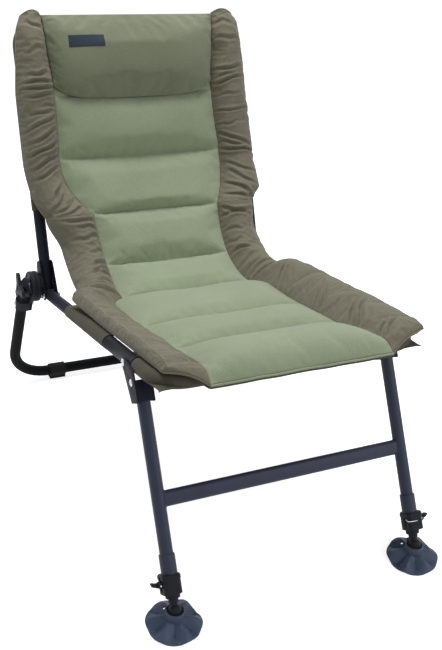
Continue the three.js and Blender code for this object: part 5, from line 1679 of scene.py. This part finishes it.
def addArm(armFrom):
    r = ratchet
    half, radius, thick, shell = chair["halfFrame"], r["radius"], r["thick"], r["shell"]
    steps = [(radius - 1.2, 0), (radius, 1), (radius, thick - 1.6), (radius - 1.6, thick),
             (radius - 6, thick), (radius - 7, thick - 1.6), (17, thick - 1.6), (16, thick), (4, thick)]
    disc = placeBy(turned("armDisc", steps, 72), acrossFrame(Matrix.Identity(4), -1, -(half + armFrom), 0, 0))
    top = -r["shellTop"] + 1.4
    steps = [(shell - 0.8, -r["armFoot"]), (shell, -r["armFoot"] + 0.8), (shell, -r["shellTop"]),
             (shell - 1.5, top), (6, top)]
    socketShell = placeBy(turned("shell", steps, 40), moved(-(half + rearOut), 0, 0))
    neck = sheetBlock((-(half + rearOut), -shell, -r["armFoot"]), (-(half + armFrom), shell, -37), 1.5)
    web = sheetBlock((-(half + armFrom + thick), -shell, -r["armFoot"]), (-(half + armFrom), shell, -8), 1.5)
    piece = joined("ratchetArm", disc, socketShell, neck, web)
    finishHard(placeBy(piece, rearFrame), "blackPlastic", "rear_leg", "ratchet_arm", angle=30)


def addKnob(hubFrom):
    r = ratchet
    half = chair["halfFrame"]
    outline = wrappedOutline([(0, 0, 13), (0, 15, 9.4), (0, 25, 9)], 40)
    lobe = plate("lobe", outline, 7, 1.8, 4)
    turns = [2 * math.pi * k / r["lobes"] for k in range(1, r["lobes"])]
    lobes = [lobe] + [placeBy(twin(lobe, "lobe"), Matrix.Rotation(turn, 4, "Z")) for turn in turns]
    for part in lobes:
        placeBy(part, axes("y z -x", (-(half + r["lobeOut"]), 0, 0)))
    end = r["hubEnd"] - hubFrom
    steps = [(22, 0), (23, 0.8), (21, 5), (16, 10), (14, 13), (13, end - 0.4), (12.2, end + 0.6)]
    hub = turned("hub", steps, 48)
    cutAway(hub, turned("keyHole", [(r["keyHole"], 11), (r["keyHole"], 40)], 6))
    placeBy(hub, acrossFrame(Matrix.Identity(4), -1, -(half + hubFrom), 0, 0))
    piece = joined("ratchetKnob", hub, *lobes)
    placeBy(piece, backFrame @ backPivot)
    openEdit(piece)
    closeEdit()
    finishHard(piece, "blackPlastic", "knob", "ratchet_knob", angle=30)


def addRatchet():
    r = ratchet
    half, setback, rise = chair["halfFrame"], chair["backSetback"], chair["pivotRise"]

    def onPivot(out):  # on the pivot's axis, so far out from the left tube
        return acrossFrame(backFrame, -1, -(half + out), setback, rise)

    armFrom = addHousing(onPivot)
    addArm(armFrom)
    springFrom = armFrom + r["thick"] + r["gap"]
    spring = turnedRing("ratchetSpring", springProfile, 40)
    finishHard(placeBy(spring, onPivot(springFrom)), "zinc", "knob", "ratchet_spring")
    hubFrom = springFrom + r["hubFrom"]
    addKnob(hubFrom)
    addBolt("ratchetBolt", backFrame, -(half - bolt["cheekFace"]), -(half + hubFrom + 11), setback, rise,
            "back", "ratchet_bolt", tail=1)
    addBolt("leftLegBolt", rearFrame, -(half + rearOut + r["shell"] + r["gap"]), -(half + armFrom - 2.2), 0,
            r["boltDrop"], "rear_leg", "rear_leg_bolt_left", tail=0.6)


strap = {
    "thick": 4,
    "half": 11,
    "from": 19.8,
    "crankTop": 16,
    "crankFoot": 34,
    "foot": 66,
    "gap": 0.3,
    "tubeFace": 12.8,
}


def addPlainPivot():
    t = strap
    half, thick, start = chair["halfFrame"], t["thick"], t["from"]
    outer = rearOut - chair["tube"] - t["gap"]
    inner = outer - thick
    outline = [(start, t["half"]), (start, -t["crankTop"]), (inner, -t["crankFoot"]), (inner, -t["foot"]),
               (outer, -t["foot"]), (outer, -t["crankFoot"] + thick), (start + thick, -t["crankTop"] + thick),
               (start + thick, t["half"])]
    body = plate("strapBody", outline[::-1], 2 * t["half"], 1.2, 3)
    placeBy(body, axes("x z -y", (half, t["half"], 0)))
    boss = turned("strapBoss", [(8, 0), (9, 0.8), (9, 5)], 36)
    placeBy(boss, acrossFrame(Matrix.Identity(4), 1, half + bolt["cheekFace"], 0, 0))
    piece = joined("pivotStrap", body, boss)
    finishHard(placeBy(piece, rearFrame), "framePaint", "rear_leg", "pivot_strap_right")
    addBolt("pivotBolt", backFrame, half + start + thick + t["gap"], half - bolt["cheekFace"],
            chair["backSetback"], chair["pivotRise"], "back", "pivot_bolt_right", tail=2)
    addBolt("rightLegBolt", rearFrame, half + rearOut + t["tubeFace"], half + inner - t["gap"], 0,
            ratchet["boltDrop"], "rear_leg", "rear_leg_bolt_right", tail=1)


addTubes()
addCrossbar()
addHingeBrackets()
addSaddles()
addCollars()
addLegEnds()
addPosts()
addFeet()
addRearFeet()
addRatchet()
addPlainPivot()
addBolts()
print("frame, legs and joints")

# Slings: sheets that dip between sleeves round the frame, notched at the front legs' collars
sling = {
    "rearHem": 143,
    "lowHem": 190,
    "sheet": 1.2,
    "hem": 16,
    "hemDip": 300.0,
    "notchFrom": 375,
    "notchTo": 525,
    "notch": 22,
    "cornerOut": 11,
    "cornerDrop": 7,
    "cornerSheet": 1.6,
    "top": 14,
    "foldIn": 70,
    "wrap": 180,
    "corners": 90,
}


def frameHalfAt(fromCross):
    into = np.maximum(0, 1 - fromCross / chair["frameBend"])
    return chair["halfFrame"] - chair["frameBend"] * (1 - np.sqrt(1 - into**2))


def slingSheet(name, long, openAt, notched, seed):  # z up, the cross tube at y = -long
    across, along = np.linspace(-1, 1, 61), spread(0, long - openAt, 90, 0.6)
    fromCross, u = np.meshgrid(along, across, indexing="ij")
    half = frameHalfAt(fromCross)
    if notched:
        start, end = (smooth(long - fromCross, sling[k] - 2, sling[k] + 2) for k in ("notchFrom", "notchTo"))
        half = half - sling["notch"] * start * (1 - end)
    x = u * half
    ripples = wrinkle(np.stack([x, fromCross, x * 0], -1), seed, 0.012, (0.6, 2.5, 1)) * 1.2 * (1 - u**2)
    z = sling["top"] - dip(x, fromCross) + np.minimum(ripples, 0)
    upper = np.stack([x, fromCross - long, z], -1)
    lower = upper - np.array([0, 0, sling["sheet"]])
    return skin(name, upper, lower)


def sleeveAlong(name, line, seed):
    dense = []
    for a, b in zip(line, line[1:]):
        steps = max(1, int((b - a).length / 6))
        dense += [a + (b - a) * k / steps for k in range(steps)]
    piece = tubeAlong(name, dense + [line[-1]], sleeve, 1.2, 12)
    for vertex in piece.data.vertices:  # gathers round the tube
        centre = min(abs(abs(vertex.co.x) - chair["halfFrame"]), 30) / 30
        pull = noise.noise(Vector((vertex.co.x * 0.01, vertex.co.y * 0.05, vertex.co.z * 0.01 + seed)))
        vertex.co.z -= max(0, pull) * 0.8 * (1 - centre)
    return piece


def hemBand(half, y0):
    across = np.linspace(-half, half, 50)
    points = [(x, sling["top"] - float(dip(np.array(x), sling["hemDip"]))) for x in across]
    outline = [(x, z + 0.5) for x, z in points] + [(x, z - 2.2) for x, z in points[::-1]]
    return placeBy(plate("hemBand", outline[::-1], sling["hem"], 0.4, 1), axes("x z y", (0, y0, 0)))


def slingCorner(side):  # the sleeve's cloth is cut square, so it stands out past the tube's bend
    half, bend, out = chair["halfFrame"], chair["frameBend"], sling["cornerOut"]
    corner = np.array([half + out, -chair["seatDepth"] - out, -sling["cornerDrop"]])
    rows = []
    for t in np.linspace(0, 1, 13):
        way = np.array([math.cos(t * math.pi / 2), -math.sin(t * math.pi / 2), 0])
        onTube = np.array([half - bend, -chair["seatDepth"] + bend, 0.0]) + bend * way
        toEdge = max(0, 1 - abs(2 * t - 1)) ** 1.4
        outward = onTube + way * (sleeve - 1) - np.array([0, 0, 4])
        tip = outward + (corner - outward) * toEdge
        rows.append([onTube + (tip - onTube) * k / 8 - np.array([0, 0, sling["sheet"]]) for k in range(9)])
    upper = np.array(rows)
    upper[..., 0] *= side
    return skin("slingCorner", upper, upper - np.array([0, 0, sling["cornerSheet"]]), flip=side > 0)


def addSling(name, base, body, node, long, openAt, notched, seed):
    half = chair["halfFrame"]
    parts = [slingSheet(name, long, openAt, notched, seed)]
    front = sling["notchTo"] if notched else openAt
    if notched:
        for side in (-1, 1):
            line = [Vector((side * half, -openAt, 0)), Vector((side * half, -sling["notchFrom"], 0))]
            parts.append(sleeveAlong("sleeve", line, seed))
    corners = [(-half, -front, 0), (-half, -long, 0), (half, -long, 0), (half, -front, 0)]
    parts.append(sleeveAlong("sleeve", bentLine(corners, chair["frameBend"]), seed))
    parts.append(hemBand(half - 6, -openAt - sling["hem"]))
    if notched:
        parts += [slingCorner(side) for side in (-1, 1)]
    piece = joined(name, *parts)
    finishHard(placeBy(piece, base), "sling", body, node, angle=50)


def addSlings():
    addSling("seatSling", seatFrame, "seat", "seat_sling", chair["seatDepth"], sling["rearHem"], True, 3)
    base = backFrame @ axes("-x -z -y", (0, chair["backSetback"], 0))
    addSling("backSling", base, "back", "back_sling", chair["backLength"], sling["lowHem"], False, 8)


# The pocket behind the back, hooked over the top tube
hood = {
    "foot": 452,
    "half": 272,
    "corner": 62,
    "thick": 1.4,
    "slack": 2.5,
    "ripple": 2.6,
    "rollOut": 3.4,
    "roll": 2,
    "foldIn": 34,
    "areaShare": 0.97,
}


def addHood():
    top = chair["backLength"] + sleeve + ease
    front, rear = chair["backSetback"] - sleeve, chair["backSetback"] + sleeve + ease
    down = spread(0, top - hood["foot"], 46, 0.3)
    overTop = [(front + 1.5, top - 1.2), (front + 8, top + 0.8), (front + 18, top + 1.2), (rear - 5, top + 1),
               (rear + 0.6, top - 1.6)]
    rows = overTop + [(rear + 1, top - d) for d in down[1:]]
    upper, lower = [], []
    for k, (y, z) in enumerate(rows):
        drop = max(0, top - z)
        into = 1 if k < len(overTop) else max(0, 1 - drop / hood["corner"])
        half = hood["half"] - hood["corner"] * (1 - math.sqrt(max(0, 1 - into**2)))
        behind = drop > 2  # the rows over the top lift, those behind stand out
        thick = (0, hood["thick"], 0) if behind else (0, 0, hood["thick"])
        under = []
        for u in np.linspace(-1, 1, 90):
            ripple = noise.noise(Vector((u * half * 0.014, z * 0.006, 2.3)))
            ripple = ripple * hood["ripple"] * min(1, drop / 60)
            slack = hood["slack"] * (1 - u * u) * min(1, drop / 80)
            under.append((u * half, y + (max(0, ripple) + slack if behind else 0), z))
        lower.append(under)
        upper.append(np.array(under) + thick)
    piece = skin("mattressHood", np.array(upper), np.array(lower))
    openEdit(piece)
    closeEdit()
    half, foot = hood["half"], hood["foot"]
    hem = [
        Vector((x, rear + hood["rollOut"] + hood["slack"] * (1 - (x / half) ** 2), foot + 3))
        for x in np.linspace(-half, half, 40)
    ]
    piece = joined("mattressHood", piece, tubeAlong("hoodHem", hem, hood["roll"], around=4))
    finishHard(placeBy(piece, backFrame), "bolster", "back", "mattress_hood", angle=60)


# The bare woven patch on the pillow
tag = {
    "x": (-166, -85),
    "z": (534, 560),
    "thick": 0.9,
    "bed": 0.25,
    "stitchIn": 1.8,
    "stitch": 3,
    "thread": 0.28,
}


def pillowSurface(points):  # y of the pillow's face at each (x, z), in the back's frame
    mesh = bpy.data.objects["headrestPillow"].data
    inverse = backFrame.inverted()
    flat = [inverse @ v.co for v in mesh.vertices]
    tree = BVHTree.FromPolygons(flat, [p.vertices[:] for p in mesh.polygons])
    return [tree.ray_cast(Vector((x, -300, z)), Vector((0, 1, 0)))[0].y for x, z in points]


def addTag():
    (x0, x1), (z0, z1) = tag["x"], tag["z"]
    z, x = np.meshgrid(np.linspace(z0, z1, 11), np.linspace(x0, x1, 28), indexing="ij")
    flat = list(zip(x.ravel().tolist(), z.ravel().tolist()))
    face = np.array(pillowSurface(flat)).reshape(x.shape)
    rim = np.minimum.reduce([x - x0, x1 - x, z - z0, z1 - z])
    puff = tag["thick"] * (0.55 + 0.45 * smooth(rim, 0, 2.5))
    upper = np.stack([x, face - puff, z], -1)
    lower = np.stack([x, face + tag["bed"], z], -1)
    piece = skin("tagPatch", upper, lower)
    finishHard(placeBy(piece, backFrame), "tag", "back", "tag_patch", angle=50)
    inset = tag["stitchIn"]
    left, right, foot, top = x0 + inset, x1 - inset, z0 + inset, z1 - inset
    corners = [(left, foot), (right, foot), (right, top), (left, top)]
    first = tubeAlong("stitch", [Vector((0, 0, 0)), Vector((0, 0, 1))], tag["thread"], around=2)
    stitches = []
    for (ax, az), (bx, bz) in zip(corners, corners[1:] + corners[:1]):
        count = int(math.hypot(bx - ax, bz - az) / tag["stitch"])
        for k in range(count):
            shares = ((k + 0.15) / count, (k + 0.85) / count)
            ends = [(ax + (bx - ax) * t, az + (bz - az) * t) for t in shares]
            ys = pillowSurface(ends)
            start, end = [Vector((px, y - tag["thick"] - 0.1, pz)) for (px, pz), y in zip(ends, ys)]
            way = end - start
            place = Matrix.LocRotScale(start, way.to_track_quat("Z", "Y"), (1, 1, way.length))
            stitches.append(placeBy(twin(first, "stitch"), place))
    bpy.data.objects.remove(first)
    piece = joined("tagStitches", *stitches)
    finishHard(placeBy(piece, backFrame), "thread", "back")


# The mattress's front edge: fleece piping over a dark bound strip, and a hem round the bolsters' ends
binding = {"fleeceHalf": 188, "pipe": 2.1, "strip": 2.6, "stripDrop": 4.2, "hem": 1.3, "out": 1, "lift": 2.2}


def frontEdge(x, back, drop):  # a point on the front edge of the mattress's underside
    outer, rise = (bolsters["seatOuter"][1], 5) if x > 0 else (bolsters["seatOuter"][-1], 3)
    w = max(0, (abs(x) - binding["fleeceHalf"]) / (outer - binding["fleeceHalf"]))
    y = mat["seatEdge"] + (bolsters["seatSetback"] - chair["seatDepth"] - mat["seatEdge"]) * w
    under = float(seatUnder(np.array(x), np.array(y)))
    wave = noise.noise(Vector((x * 0.02, 1.7, 0)))
    lift = binding["lift"] + rise * w - drop
    return Vector((x, y - binding["out"] + back + 0.8 * wave, under + lift + 1.1 * wave))


def addBinding():
    runs = (
        ("frontPiping", "fleece", binding["pipe"], -188, 188, 0, 0),
        ("frontStrip", "sling", binding["strip"], -200, 200, 2.5, binding["stripDrop"]),
        ("leftEndHem", "bolster", binding["hem"], -258, -187, 0, 0.6),
        ("rightEndHem", "bolster", binding["hem"], 187, 284, 0, 0.6),
    )
    for name, finish, radius, x0, x1, back, drop in runs:
        points = [frontEdge(x, back, drop) for x in np.linspace(x0, x1, 120).tolist()]
        piece = tubeAlong(name, points, radius, around=5)
        finishHard(placeBy(piece, seatFrame), finish, "seat", angle=60)


def addCrestSeam():  # pale stitching along the slack bolster's crest
    vertices = bpy.data.objects["leftSeatBolster"].data.vertices
    w = spread(0, 1, bolsters["across"], bolsters["crowd"])
    column = int(np.argmax(w > bolsters["seam"]))
    crest = [vertices[row * len(w) + column] for row in range(3, bolsters["along"] - 18, 2)]
    flat = seatFrame.inverted()
    line = [flat @ (vertex.co + vertex.normal * 0.0003) for vertex in crest]
    seam = tubeAlong("leftCrestSeam", line, 0.75, around=2)
    finishHard(placeBy(seam, seatFrame), "paleThread", "seat")


addSlings()
addHood()
addTag()
addBinding()
addCrestSeam()
print("slings, hood, patch and bindings")
